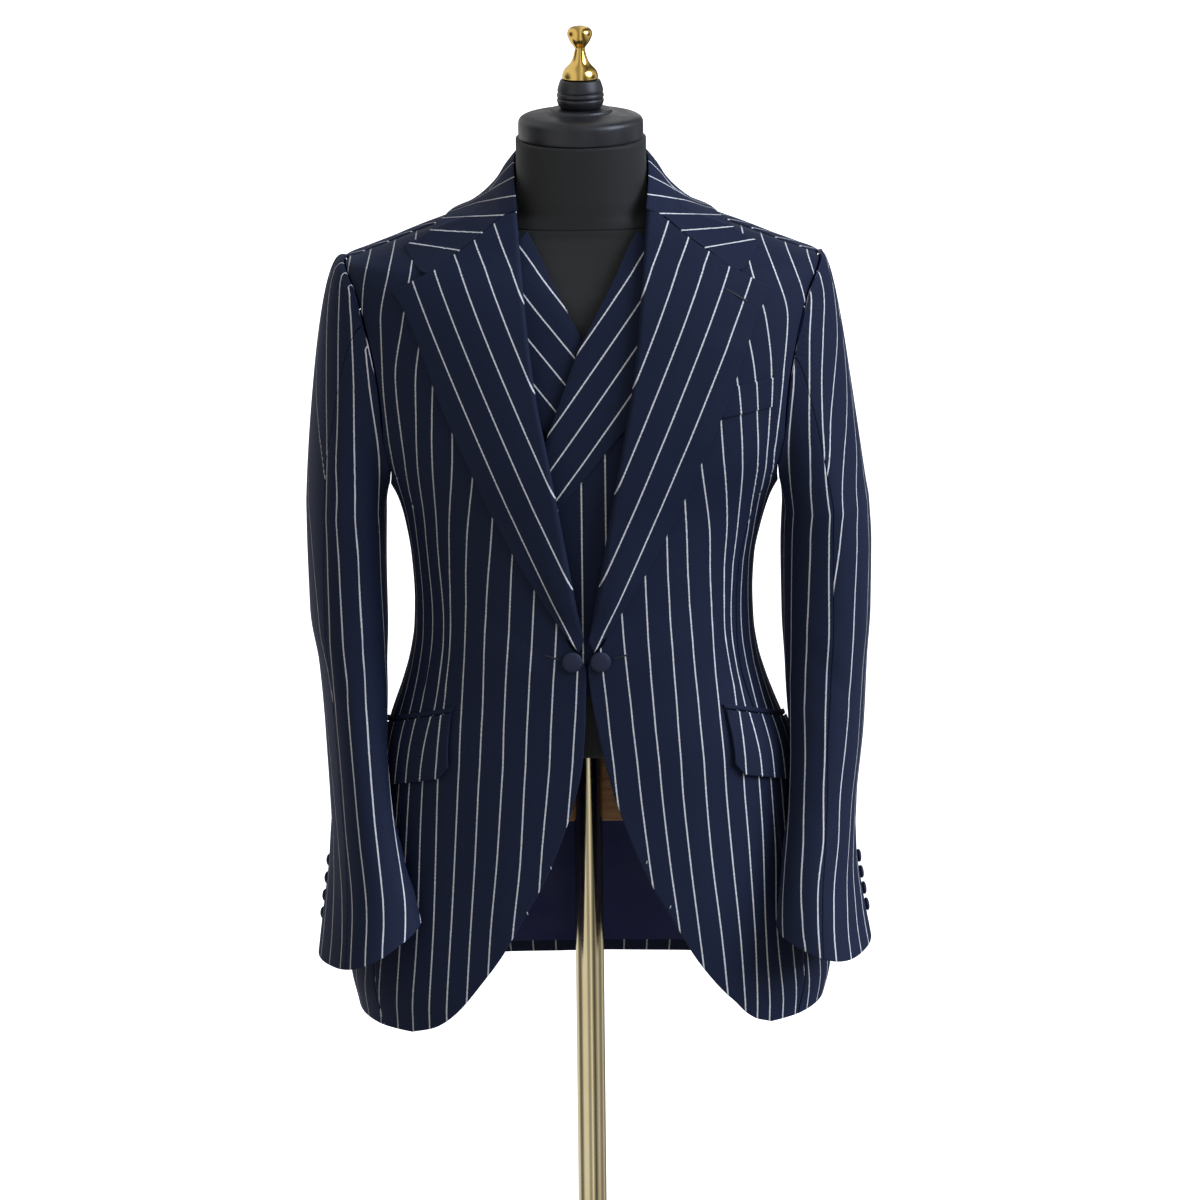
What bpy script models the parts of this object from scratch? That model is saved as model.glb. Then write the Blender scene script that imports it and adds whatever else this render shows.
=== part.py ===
"""Striped suit jacket and waistcoat on a tailor's dress form, in metres.

The pole stands on the origin, +Z is up and the fronts face -Y. Left and right are those
seen from the front: left is -X. The tables are in millimetres.
"""
import bpy
import numpy as np
from mathutils import Matrix, Vector

MM = 0.001
CLOTH = 2.0  # jacket cloth with its canvas
FACING = 1.8
WAISTCOAT_CLOTH = 1.6
LINING = 1.0
SEAM_GAP = 0.3
SEAM_TURN = 0.27  # half of a seam's gap, as an angle round the body
SHOULDER_TURN = 0.05

# Outline of the jacket at each height: half width, depth to the front and to the back.
BODY = (
    # height, half width, front, back
    (725, 215, 122, 118),
    (740, 218, 122, 118),
    (775, 225, 121, 118),
    (813, 222, 120, 117),
    (840, 214, 120, 115),
    (880, 204, 119, 112),
    (940, 195, 117, 105),
    (996, 187, 116, 98),
    (1010, 183, 116, 96),
    (1026, 177, 116, 94),
    (1045, 170, 116, 92),
    (1073, 162, 117, 89),
    (1100, 158, 118, 87),
    (1130, 157, 118, 86),
    (1165, 159, 120, 91),
    (1198, 165, 122, 96),
    (1225, 173, 124, 102),
    (1245, 184, 126, 106),
    (1270, 201, 127, 110),
    (1300, 214, 126, 114),
    (1350, 222, 121, 117),
    (1400, 224, 112, 113),
    (1430, 224, 101, 105),
    (1445, 220, 92, 99),
    (1451.5, 205, 87, 95),
    (1460.3, 182, 82, 91),
    (1471.3, 155, 77, 86),
    (1479, 134, 73, 82),
    (1486.3, 113, 69, 78),
    (1493, 95, 66, 74),
    (1498, 82, 64, 71),
    (1502, 74, 62, 69),
    (1508, 70, 61, 68),
)
ROUNDNESS = 2.5
# The waist hangs a little to the left of the pole.
LEAN = ((990, 0), (1024, -1.4), (1070, -2.3), (1170, -2.3), (1210, -1), (1260, 0))

# The dress form: the same columns.
FORM = (
    (990, 150, 92, 78),
    (1010, 152, 94, 78),
    (1060, 147, 97, 74),
    (1120, 140, 98, 70),
    (1180, 144, 101, 78),
    (1240, 158, 105, 90),
    (1300, 176, 105.5, 98),
    (1350, 186, 101, 101),
    (1395, 190, 93.5, 98),
    (1420, 190, 86, 92),
    (1434, 185, 77, 85),
    (1444, 174, 72, 80),
    (1454, 154, 67, 75),
    (1464, 124, 63, 69),
    (1474, 98, 60, 64),
    (1484, 77, 59.5, 60.5),
    (1493, 64, 59.5, 59.5),
    (1504, 61, 60, 60),
    (1516, 60, 60, 60),
    (1555.7, 60, 60, 60),
)

# Front panel, from the hem up: its front edge, and the point of its side edge in the same row.
FRONT_LEFT = (
    # edge x, edge height, side angle, side height
    (166, 737, 60, 738),
    (140, 746, 60, 768),
    (112, 769, 60, 806),
    (84, 804, 60, 850),
    (62, 842, 60, 895),
    (38, 886, 60, 940),
    (19, 934, 60, 982),
    (7, 976, 60, 1022),
    (2.5, 1010, 60, 1058),
    (0.6, 1050, 60.5, 1094),
    (0.6, 1090, 61, 1130),
    (7, 1120, 61.5, 1166),
    (18, 1180, 62, 1208),
    (31, 1250, 62.9, 1262),
    (41, 1300, 58, 1298),
    (49, 1350, 56.3, 1334),
    (54, 1400, 57.7, 1369),
    (58, 1442, 60.8, 1398),
    (61, 1470, 67, 1427),
    (62, 1484, 76, 1441),
    (66, 1493, 84, 1446),
    (78, 1497, 90, 1448),
)
# The right front's cutaway leans further open than the left one's.
RIGHT_OPEN = (
    # height, further across
    (735, 0),
    (745, 8),
    (760, 14),
    (830, 15),
    (930, 14),
    (980, 13),
    (1020, 8),
    (1050, 3.5),
    (1088, 0),
)

BACK_EDGE = (
    # edge angle, edge height, side angle, side height
    (180, 751, 109, 751),
    (180, 800, 109, 797),
    (180, 850, 109, 846),
    (180, 905, 109, 895),
    (180, 955, 109, 950),
    (180, 960, 118, 953),
    (180, 995, 118, 982),
    (180, 1030, 118, 1022),
    (180, 1062, 118, 1058),
    (180, 1098, 118, 1094),
    (180, 1134, 118, 1130),
    (180, 1170, 118, 1166),
    (180, 1212, 118, 1208),
    (180, 1266, 117, 1262),
    (180, 1320, 121, 1308),
    (180, 1380, 121, 1350),
    (180, 1440, 117, 1398),
    (180, 1485, 110, 1427),
    (180, 1503, 101, 1441),
    (140, 1502, 96, 1445),
    (110, 1500, 92, 1447),
    (90, 1498, 90, 1448),
)

LAPEL = (
    # fold x, fold height, outer x, outer height
    (2.5, 1108, 7, 1098),
    (7, 1129, 22, 1118),
    (13, 1162, 43, 1151),
    (19, 1198, 64, 1187),
    (26, 1238, 86, 1230),
    (35, 1288, 110, 1282),
    (44, 1336, 132, 1333),
    (50, 1384, 150, 1383),
    (55, 1436, 163, 1413),
    (60, 1499, 174, 1429),
)

# The sleeves below the armhole: the middle of each ring, its thin and wide half width, its turn
# about the upright axis and how much it tips across and along.
SLEEVE = {
    # height, middle x, middle y, thin, wide, turn, tip across, tip along
    "left": (
        (1215, 221, 4, 37, 84, 4, 0.0, 0.0),
        (1170, 221.5, 5, 36.5, 81, 4, 0.0, 0.0),
        (1110, 220.5, 3, 36, 77, 5, 0.0, -0.02),
        (1060, 217, -4, 31, 73, 6, 0.02, -0.06),
        (1000, 213, -18, 29, 68, 8, 0.05, -0.12),
        (935, 208, -38, 29, 63, 12, 0.12, -0.18),
        (890, 205, -55, 31, 60, 18, 0.25, -0.22),
        (855, 203, -68, 37, 58, 24, 0.38, -0.24),
        (822, 203, -80, 43, 56, 28, 0.5, -0.25),
    ),
    "right": (
        (1215, 223, 4, 40, 84, 4, 0.0, 0.0),
        (1170, 223.5, 5, 42, 81, 4, 0.0, 0.0),
        (1110, 223.3, 3, 41.5, 77, 4, 0.0, -0.02),
        (1060, 222.5, -4, 38, 73, 5, 0.02, -0.06),
        (1000, 220.5, -18, 35.5, 68, 7, 0.05, -0.12),
        (935, 216, -38, 32, 63, 10, 0.1, -0.18),
        (890, 214, -55, 32, 60, 14, 0.2, -0.22),
        (855, 215, -68, 35, 58, 18, 0.28, -0.24),
        (822, 217, -80, 40, 56, 22, 0.36, -0.25),
    ),
}
ARMHOLE = (
    # share of the way round from the shoulder point over the front, angle, height
    (0.00, 90, 1448),
    (0.03, 78, 1443),
    (0.08, 66, 1427),
    (0.14, 60.4, 1398),
    (0.20, 57.4, 1369),
    (0.27, 56.2, 1334),
    (0.34, 57.8, 1298),
    (0.41, 62.4, 1262),
    (0.50, 90, 1238),
    (0.59, 117.5, 1262),
    (0.66, 121.4, 1306),
    (0.74, 121.4, 1350),
    (0.82, 117.4, 1398),
    (0.90, 110.4, 1427),
    (0.95, 101, 1442),
    (1.00, 90, 1448),
)
# How the sleeve head leaves the shoulder, out and up, and how it comes down into the sleeve.
CAP = {"left": (21.5, 22.5, 4, 74), "right": (15, 17.5, 10, 38)}
SLEEVE_ROUNDNESS = 2.5
FOREARM_SEAM = {"left": (0.20, 0.12), "right": (0.22, 0.22)}  # above the elbow, and below it
HINDARM_SEAM = 0.80
FOLD_TUCK = 12.5  # the front stops this far short of the lapel's fold
SIDE_HEM = (738, 750)
LEFT_DROP = 6.0
VENT_LIFT = 5.2

# The collar from the gorge round to the middle of the back: its fold, the foot of its stand, and
# where its outer edge lies on the body.
COLLAR = (
    # fold x, y, height, stand x, y, height, edge angle, edge height
    (60.5, -60, 1500, 62, -58.5, 1496, 58, 1465),
    (62, -42, 1513, 68, -44, 1500.5, 68, 1474),
    (63, -20, 1525, 71, -22, 1503, 80, 1480),
    (63, 0, 1534, 71, 0, 1503.5, 92, 1483),
    (59.5, 27.5, 1541, 66, 30, 1504.5, 112, 1485),
    (45, 50, 1546, 50, 50, 1505, 132, 1489),
    (23, 64, 1549, 26, 63, 1505.3, 155, 1491),
    (0, 68.5, 1550, 0, 66, 1505.5, 180, 1492),
)
COLLAR_SAG = 9.0

FLAP_START = {"left": 40.5, "right": 43.5}
FLAP_TOP, FLAP_DEPTH, FLAP_SLANT, FLAP_SWEEP = 1036, 60, 0.6, 56
JET_HEIGHT = 5.0
WELT_X, WELT_TOP, WELT_SLANT, WELT_HEIGHT = (126, 176), 1348, 0.13, 27
CUFF_BUTTONS = (1.79, 1.835, 1.88, 1.925)
CUFF_BUTTON_SHARE = {"left": 0.835, "right": 0.88}

WAISTCOAT_OVER, WAISTCOAT_UNDER, WAISTCOAT_SIDE = 8.2, 15.4, 6.4
WAISTCOAT_LAPEL_LIFT, WAISTCOAT_LAPEL_UNDER = 2.9, 3.5
WAISTCOAT_FRONT = (
    # edge x, edge height, side angle, side height
    (-42, 1052, 90, 1056),
    (-42, 1110, 90, 1108),
    (-42, 1170, 90, 1160),
    (-42, 1212, 90, 1200),
    (-32, 1262, 84, 1228),
    (-14, 1320, 66, 1256),
    (6, 1372, 54, 1300),
    (26, 1414, 48, 1350),
    (44, 1452, 48, 1400),
    (56, 1478, 58, 1440),
    (62, 1490, 74, 1462),
    (70, 1498, 89, 1474),
    (76, 1500.5, 90, 1476),
)
WAISTCOAT_LAPEL = (
    # inner x, inner height, outer x, outer height
    (-54, 1250, -44, 1209),
    (-40, 1285, -22, 1235),
    (-22, 1333, 1, 1262),
    (-5, 1378, 24, 1290),
    (12, 1412, 42, 1311),
    (28, 1442, 68, 1345),
    (42, 1469, 90, 1390),
    (51, 1485, 98, 1432),
)
WAISTCOAT_BACK = (
    # edge angle, edge height, side angle, side height
    (180, 1052, 90, 1056),
    (180, 1110, 90, 1108),
    (180, 1170, 90, 1160),
    (180, 1215, 90, 1200),
    (180, 1262, 96, 1228),
    (180, 1310, 112, 1256),
    (180, 1360, 126, 1300),
    (180, 1410, 131, 1350),
    (180, 1455, 128, 1400),
    (180, 1485, 116, 1440),
    (180, 1500, 102, 1462),
    (140, 1500, 95, 1472),
    (100, 1500, 91, 1475),
    (90, 1500.5, 90, 1476),
)
WAISTCOAT_BUTTONS = (1075, 1120, 1165)

# Turned pieces of the stand: radius and height.
NECK_CAP = (
    (0, 1556),
    (56.5, 1556),
    (57.5, 1557),
    (57.5, 1572.5),
    (55.5, 1576),
    (50, 1578.4),
    (32, 1580.5),
    (29, 1581.5),
    (28, 1583.3),
    (0, 1583.3),
)
FINIAL_BLOCK = (
    (0, 1583.6),
    (18, 1583.6),
    (20, 1586),
    (21.6, 1590),
    (21.7, 1592.5),
    (20.6, 1593.5),
    (21.7, 1594.5),
    (21.5, 1597.5),
    (20.4, 1598.5),
    (21.1, 1600.2),
    (19.8, 1605.5),
    (18.3, 1610.5),
    (0, 1610.5),
)
FINIAL = (
    (0, 1610.8),
    (16.3, 1610.8),
    (16.6, 1613),
    (16.2, 1616),
    (14.9, 1619.5),
    (11.5, 1623),
    (8, 1627),
    (6, 1632),
    (4.8, 1637),
    (5.2, 1640),
    (8, 1643.5),
    (10.2, 1647.5),
    (11.6, 1651.5),
    (10.8, 1655.5),
    (7, 1658.8),
    (0, 1660),
)
POLE_RADIUS, POLE_HEIGHTS = 13.3, (40.3, 989.7)
BOARD = ((-56, 13.7, 904), (56, 33, 989.7))
BASE = (
    (0, 0),
    (182, 0),
    (186, 3),
    (186, 11),
    (180, 15),
    (120, 19),
    (40, 24),
    (26, 30),
    (24, 39),
    (22, 40),
    (0, 40),
)


def clear_scene():
    for thing in list(bpy.data.objects):
        bpy.data.objects.remove(thing, do_unlink=True)


def material(name, colour, roughness, metallic=0.0):
    made = bpy.data.materials.new(name)
    made.use_nodes = True
    shader = made.node_tree.nodes["Principled BSDF"]
    shader.inputs["Base Color"].default_value = (*colour, 1.0)
    shader.inputs["Roughness"].default_value = roughness
    shader.inputs["Metallic"].default_value = metallic
    return made


def new_object(name, points, faces, finish, group):
    mesh = bpy.data.meshes.new(name)
    mesh.from_pydata([tuple(np.asarray(p) * MM) for p in points], [], faces)
    mesh.materials.append(finish)
    mesh.shade_smooth()
    made = bpy.data.objects.new(name, mesh)
    group.objects.link(made)
    return made


def smooth(table, at, column):
    """The table's column at these heights, through its rows with no overshoot."""
    xs = np.array([row[0] for row in table], float)
    ys = np.array([row[column] for row in table], float)
    step = np.diff(xs)
    rise = np.diff(ys) / step
    slope = np.zeros(len(xs))
    slope[0], slope[-1] = rise[0], rise[-1]
    for i in range(1, len(xs) - 1):
        if rise[i - 1] * rise[i] > 0:
            a = 2 * step[i] + step[i - 1]
            b = step[i] + 2 * step[i - 1]
            slope[i] = (a + b) / (a / rise[i - 1] + b / rise[i])
    at = np.clip(np.asarray(at, float), xs[0], xs[-1])
    i = np.clip(np.searchsorted(xs, at) - 1, 0, len(xs) - 2)
    t = (at - xs[i]) / step[i]
    return (
        ys[i] * (1 + 2 * t) * (1 - t) ** 2
        + slope[i] * step[i] * t * (1 - t) ** 2
        + ys[i + 1] * t * t * (3 - 2 * t)
        + slope[i + 1] * step[i] * t * t * (t - 1)
    )


def rowwise(table, count):
    """A table of rows resampled to this many, all its columns together."""
    numbered = [(i, *row) for i, row in enumerate(table)]
    at = np.linspace(0, len(table) - 1, count)
    return np.array([smooth(numbered, at, c + 1) for c in range(len(table[0]))]).T


def on_body(angle, height, table=BODY):
    """Points of the rounded outline: angle 0 is the front middle, 90 the right side, 180 the back."""
    angle, height = np.broadcast_arrays(np.radians(angle), np.asarray(height, float))
    half, front, back = (smooth(table, height, c) for c in (1, 2, 3))
    s, c = np.sin(angle), np.cos(angle)
    power = 2 / ROUNDNESS
    x = lean_at(height) + half * np.sign(s) * np.abs(s) ** power
    y = np.where(c > 0, -front, back) * np.abs(c) ** power
    return np.stack([x, y, height], -1)


def lean_at(height):
    """How far the middle of the jacket is from the pole's axis at this height."""
    return np.interp(height, *zip(*LEAN))


def angle_of(x, height, table=BODY):
    """The angle on the front at which the outline is this far across."""
    half = smooth(table, height, 1)
    across = x - lean_at(height)
    share = np.clip(np.abs(across) / half, 0, 1) ** (ROUNDNESS / 2)
    return np.sign(across) * np.degrees(np.arcsin(share))


def outward(angle, height, table=BODY):
    """Unit normals of the outline's surface."""
    round_by = on_body(angle + 0.5, height, table) - on_body(angle - 0.5, height, table)
    up_by = on_body(angle, height + 1.0, table) - on_body(angle, height - 1.0, table)
    normal = np.cross(round_by, up_by)
    return normal / np.linalg.norm(normal, axis=-1, keepdims=True)


def moved_out(angle, height, by, table=BODY):
    by = np.asarray(by, float)
    return on_body(angle, height, table) + outward(angle, height, table) * by[..., None]


def sheet(name, grid, thickness, finish, group, flip):
    """Cloth of one thickness whose outer face is this grid of points."""
    rows, columns = grid.shape[:2]
    faces = []
    for r in range(rows - 1):
        for c in range(columns - 1):
            i = r * columns + c
            quad = (i, i + 1, i + columns + 1, i + columns)
            faces.append(quad[::-1] if flip else quad)
    made = new_object(name, grid.reshape(-1, 3), faces, finish, group)
    wall = made.modifiers.new("Wall", "SOLIDIFY")
    wall.thickness = thickness * MM
    wall.offset = -1.0
    wall.use_even_offset = False
    return made


def turned(name, profile, steps, finish, group, place=None):
    """A turned piece: its profile of radius and height runs from the axis at the bottom to the top."""
    made = new_object(name, [(r, 0, z) for r, z in profile], [], finish, group)
    mesh = made.data
    mesh.edges.add(len(profile) - 1)
    for i, edge in enumerate(mesh.edges):
        edge.vertices = (i, i + 1)
    screw = made.modifiers.new("Turn", "SCREW")
    screw.steps = steps
    screw.render_steps = steps
    screw.use_merge_vertices = True
    screw.merge_threshold = 0.0001
    screw.use_normal_flip = True
    if place is not None:
        made.matrix_world = place
    return made


def box(name, low, high, bevel, finish, group):
    (x0, y0, z0), (x1, y1, z1) = low, high
    points = [(x, y, z) for x in (x0, x1) for y in (y0, y1) for z in (z0, z1)]
    faces = [(0, 1, 3, 2), (4, 6, 7, 5), (0, 4, 5, 1), (2, 3, 7, 6), (0, 2, 6, 4), (1, 5, 7, 3)]
    made = new_object(name, points, faces, finish, group)
    edge = made.modifiers.new("Edge", "BEVEL")
    edge.width = bevel * MM
    edge.segments = 2
    return made


def spread(low, high, share):
    """0 below low and 1 above high of this value, softly between them."""
    t = np.clip((share - low) / (high - low), 0, 1)
    return t * t * (3 - 2 * t)


def on_front(x, height, by):
    """Points of the front this far across, moved out from it."""
    return moved_out(angle_of(x, height), height, by)


def front_grid(side, columns=7):
    table = np.array(FRONT_LEFT, float)
    tuck = spread(1080, 1110, table[:, 1]) * spread(-1499, -1490, -table[:, 1])
    edge = table[:, 0] + SEAM_GAP + FOLD_TUCK * tuck
    if side > 0:
        edge = edge + np.interp(table[:, 1], *zip(*RIGHT_OPEN))
    start = side * angle_of(side * edge, table[:, 1])
    table[:, (1, 3)] -= hem_drop(side, table[:, (1, 3)])
    t = np.linspace(0, 1, columns)[None, :]
    angle = start[:, None] * (1 - t) + (table[:, 2:3] - SEAM_TURN) * t
    height = table[:, 1:2] * (1 - t) + table[:, 3:4] * t
    angle[-1] = 90 - SHOULDER_TURN
    return moved_out(side * angle, height, 0 * angle)


def hem_drop(side, height):
    """How much lower the left front hangs, near its hem."""
    return (LEFT_DROP if side < 0 else 0) * spread(-790, -740, -height)


def side_grid(side, columns=6):
    levels = [row[3] for row in FRONT_LEFT if row[3] < 1230] + [1261]
    t = np.linspace(0, 1, columns)
    low = SIDE_HEM[0] * (1 - t) + SIDE_HEM[1] * t
    low = low - hem_drop(side, low)
    high = 1261 - 24 * np.sin(np.pi * t) ** 0.8
    share = (np.array(levels) - levels[0]) / (levels[-1] - levels[0])
    height = low[None, :] + share[:, None] * (high - low)[None, :]
    first = np.interp(height[:, 0], (730, 1058, 1262), (60, 60, 62.9)) + SEAM_TURN
    last = np.interp(height[:, -1], (730, 1208, 1262), (118, 118, 117)) - SEAM_TURN
    angle = first[:, None] * (1 - t) + last[:, None] * t
    return moved_out(side * angle, height, 0 * angle)


def back_grid(side, rows=22, columns=8):
    table = rowwise_kept(BACK_EDGE, rows)
    t = 1 - (1 - np.linspace(0, 1, columns)[None, :]) ** 1.4
    angle = back_middle(table)[:, None] * (1 - t) + (table[:, 2:3] + SEAM_TURN) * t
    height = table[:, 1:2] * (1 - t) + table[:, 3:4] * t
    angle[-1] = 90 + SHOULDER_TURN
    # At the vent the back stands off the side panel that it laps over.
    lift = VENT_LIFT * spread(-132, -119, -angle) * spread(-1040, -985, -height)
    return moved_out(side * angle, height, lift)


def back_middle(table):
    """The first column of angles, stopped short of the middle of the back by the seam's gap."""
    gap = (SEAM_GAP / smooth(BODY, table[:, 1], 1)) ** (ROUNDNESS / 2)
    return np.minimum(table[:, 0], 180 - np.degrees(np.arcsin(gap)))


def rowwise_kept(table, rows):
    """The table with its own rows, and straight ones put between the widest spaced of them."""
    made = [np.array(row, float) for row in table]
    while len(made) < rows:
        gaps = [abs(b[1] - a[1]) + abs(b[3] - a[3]) for a, b in zip(made, made[1:])]
        i = int(np.argmax(gaps))
        made.insert(i + 1, (made[i] + made[i + 1]) / 2)
    return np.array(made)


def lapel_grid(side, rows=16, columns=6):
    table = rowwise(LAPEL, rows)
    t = np.linspace(0, 1, columns)[None, :] ** 1.3
    x = table[:, 0:1] * (1 - t) + table[:, 2:3] * t
    height = table[:, 1:2] * (1 - t) + table[:, 3:4] * t
    width = table[:, 2:3] - table[:, 0:1]
    across = t * width
    lift = -0.3 + 6.0 * spread(0, 12, across) - 3.0 * spread(0.3, 1.0, t + 0 * across)
    # The lowest part lies flat on the front just above the button.
    low = spread(-1150, -1112, -height)
    lift = lift * (1 - low) + 2.6 * low
    if side > 0:
        over_welt = spread(1270, 1300, height) * spread(-1400, -1375, -height)
        lift = lift + 2.4 * over_welt * spread(0.5, 0.9, t + 0 * across)
    return on_front(side * x, height, lift)


def collar_grid(columns_of_leaf=5):
    """The stand from its seam up to the fold, then the leaf down to its outer edge, from gorge to gorge."""
    half = []
    leaf = np.linspace(0, 1, columns_of_leaf + 1)[1:] ** 1.3
    made = rowwise(COLLAR, 12)
    for i, row in enumerate(made):
        fold = np.array(row[0:3])
        base = np.array(row[3:6])
        edge = moved_out(np.array(row[6]), np.array(row[7]), 4.2)
        inner = fold + (base - fold) * 0.12 + inward(fold) * 2.6
        middle = fold + (base - fold) * 0.55 + inward(fold) * 2.2
        line = [base, middle, inner, fold]
        drop = edge - fold
        outer = -inward(fold)
        for w in leaf:
            sag = 4 * w * (1 - w)
            puff = 2.2 * np.exp(-(((w - 0.12) / 0.12) ** 2))
            point = fold + drop * w + outer * puff - np.array([0, 0, 1.0]) * COLLAR_SAG * sag
            point[2] = max(point[2], top_of_body(point[0], point[1]) + 4.6)
            line.append(point)
        half.append(line)
    gorge = [half[0][0], half[0][1], half[0][2], half[0][3]]
    top = np.array([60.3, 1501.4]), np.array([136, 1454.7]), np.array([156, 1465])
    for w in leaf:
        if w < 0.72:
            x, z = top[0] + (top[1] - top[0]) * w / 0.72
        else:
            x, z = top[1] + (top[2] - top[1]) * (w - 0.72) / 0.28
        gorge.append(on_front(np.array(x), np.array(z), 5.2 - 0.9 * w))
    half[0] = gorge
    right = np.array(half)
    left = right.copy()
    left[..., 0] *= -1
    return np.concatenate([left, right[::-1][1:]])


def inward(point):
    """Unit vector from this point of the neck towards its axis, level."""
    flat = np.array([-point[0], -point[1], 0.0])
    return flat / np.linalg.norm(flat)


def sleeve_point(side, share, along):
    """The sleeve's outer face: share runs round from the shoulder over the front, along runs down."""
    share, along = np.broadcast_arrays(np.asarray(share, float), np.asarray(along, float))
    around = share % 1.0
    angle = smooth(ARMHOLE, around, 1)
    height = smooth(ARMHOLE, around, 2)
    start = on_body(angle, height)
    crown = (1 + np.cos(2 * np.pi * around)) / 2
    start = start + np.stack([2.4 - 0.4 * crown, 0 * crown, -0.8 * (1 - crown)], -1)
    table = SLEEVE["left" if side < 0 else "right"]
    down = np.maximum(along - 1, 0) * (len(table) - 1)
    ring = sleeve_ring(table, around, down)
    first = sleeve_ring(table, around, 0 * down)
    out, rise, back, reach = CAP["left" if side < 0 else "right"]
    lead = start + np.stack([2 + out * crown, 0 * crown, -6 * (1 - crown) + rise * crown], -1)
    trail = first + np.stack([-back * crown, 0 * crown, 8 + reach * crown], -1)
    t = np.clip(along, 0, 1)[..., None]
    cap = start * (1 - t) ** 3 + 3 * lead * t * (1 - t) ** 2
    cap = cap + 3 * trail * t * t * (1 - t) + first * t**3
    made = np.where(along[..., None] <= 1, cap, ring)
    # The empty sleeve lies against the body's side, and over the pocket's flap.
    over_flap = spread(905, 938, made[..., 2]) * spread(-1070, -1035, -made[..., 2])
    clear = 1.4 + 4.3 * spread(0.15, 1.0, along) + 6.0 * over_flap
    across = made[..., 0] / (smooth(BODY, made[..., 2], 1) + clear)
    deep = np.abs(made[..., 1]) / (depth_at(made[..., 1], made[..., 2]) + clear)
    reach = (across**ROUNDNESS + deep**ROUNDNESS) ** (1 / ROUNDNESS)
    past = reach - 1
    soft = 0.0001 + 0.02 * spread(0.1, 1.0, along)
    pushed = 1 + (past + np.sqrt(past * past + soft * soft)) / 2
    made[..., :2] *= (pushed / reach)[..., None]
    made[..., 0] *= side
    return made


def depth_at(y, height):
    """How deep the body's outline is at this height, on this point's side of it."""
    return np.where(y < 0, smooth(BODY, height, 2), smooth(BODY, height, 3))


def top_of_body(x, y):
    """The height of the shoulders at this point of the plan."""
    low, high = np.full(np.shape(x), 1300.0), np.full(np.shape(x), 1508.0)
    for _ in range(24):
        middle = (low + high) / 2
        across = np.abs(x) / smooth(BODY, middle, 1)
        under = across**ROUNDNESS + (np.abs(y) / depth_at(y, middle)) ** ROUNDNESS < 1
        low, high = np.where(under, middle, low), np.where(under, high, middle)
    return low


def sleeve_ring(table, share, down):
    """Points of a sleeve's rings as on the right; down counts the rows of its table."""
    numbered = [(i, *row) for i, row in enumerate(table)]
    height, mid_x, mid_y, thin, wide, turn, across, along = (smooth(numbered, down, c) for c in range(1, 9))
    c, s = np.cos(2 * np.pi * share), np.sin(2 * np.pi * share)
    out = thin * np.sign(c) * np.abs(c) ** (2 / SLEEVE_ROUNDNESS)
    fore = wide * np.sign(s) * np.abs(s) ** (2 / SLEEVE_ROUNDNESS)
    turn = np.radians(turn)
    x = out * np.cos(turn) - fore * np.sin(turn)
    y = -fore * np.cos(turn) - out * np.sin(turn)
    return np.stack([mid_x + x, mid_y + y, height - across * x - along * y], -1)


def sleeve_grid(side, half, columns, rows=13):
    """The top or the under half of a sleeve, between its forearm and hindarm seams."""
    along = np.concatenate([np.linspace(0, 1, 5) ** 1.5, np.linspace(1, 2, rows - 4)[1:]])[:, None]
    above, below = FOREARM_SEAM["left" if side < 0 else "right"]
    forearm = above + (below - above) * spread(1.15, 1.6, along)
    first, last = (HINDARM_SEAM - 1, forearm) if half == "top" else (forearm, HINDARM_SEAM)
    columns = 0.5 - 0.5 * np.cos(np.pi * np.linspace(0, 1, columns))[None, :]
    return sleeve_point(side, first + 0.002 + (last - first - 0.004) * columns, along)


def flap_grid(side, start, columns=8, rows=4):
    angle = np.linspace(start, start + FLAP_SWEEP, columns)[None, :]
    top = FLAP_TOP - FLAP_SLANT * (angle - start)
    corner = 9 * (1 - spread(0, 5.0, angle - start)) ** 2
    t = np.linspace(0, 1, rows)[:, None]
    height = top - (FLAP_DEPTH - corner) * (1 - t)
    return moved_out(side * (angle + 0 * t), height, 3.2 + 2.0 * (1 - t) + 0 * angle)


def jet_grid(side, start, columns=8):
    angle = np.linspace(start - 0.5, start + FLAP_SWEEP + 1.5, columns)[None, :]
    top = FLAP_TOP + 0.8 - FLAP_SLANT * (angle - start)
    height = top + np.array([[0.0], [JET_HEIGHT]])
    return moved_out(side * (angle + 0 * height), height, 2.6 + 0 * height)


def welt_grid(columns=5):
    x = np.linspace(*WELT_X, columns)[None, :]
    top = WELT_TOP + WELT_SLANT * (x - WELT_X[1])
    height = top - WELT_HEIGHT * np.array([[1.0], [0.5], [0.0]])
    return on_front(x + 0 * height, height, 2.2 + 0 * height)


def inside_grid(low, high, from_angle, by, rows, columns):
    """A piece inside the back, from this angle on one side round to the same on the other."""
    angle = np.linspace(from_angle, 360 - from_angle, columns)[None, :]
    height = np.linspace(low, high, rows)[:, None]
    return moved_out(angle + 0 * height, height + 0 * angle, by + 0 * angle * height)


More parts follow.
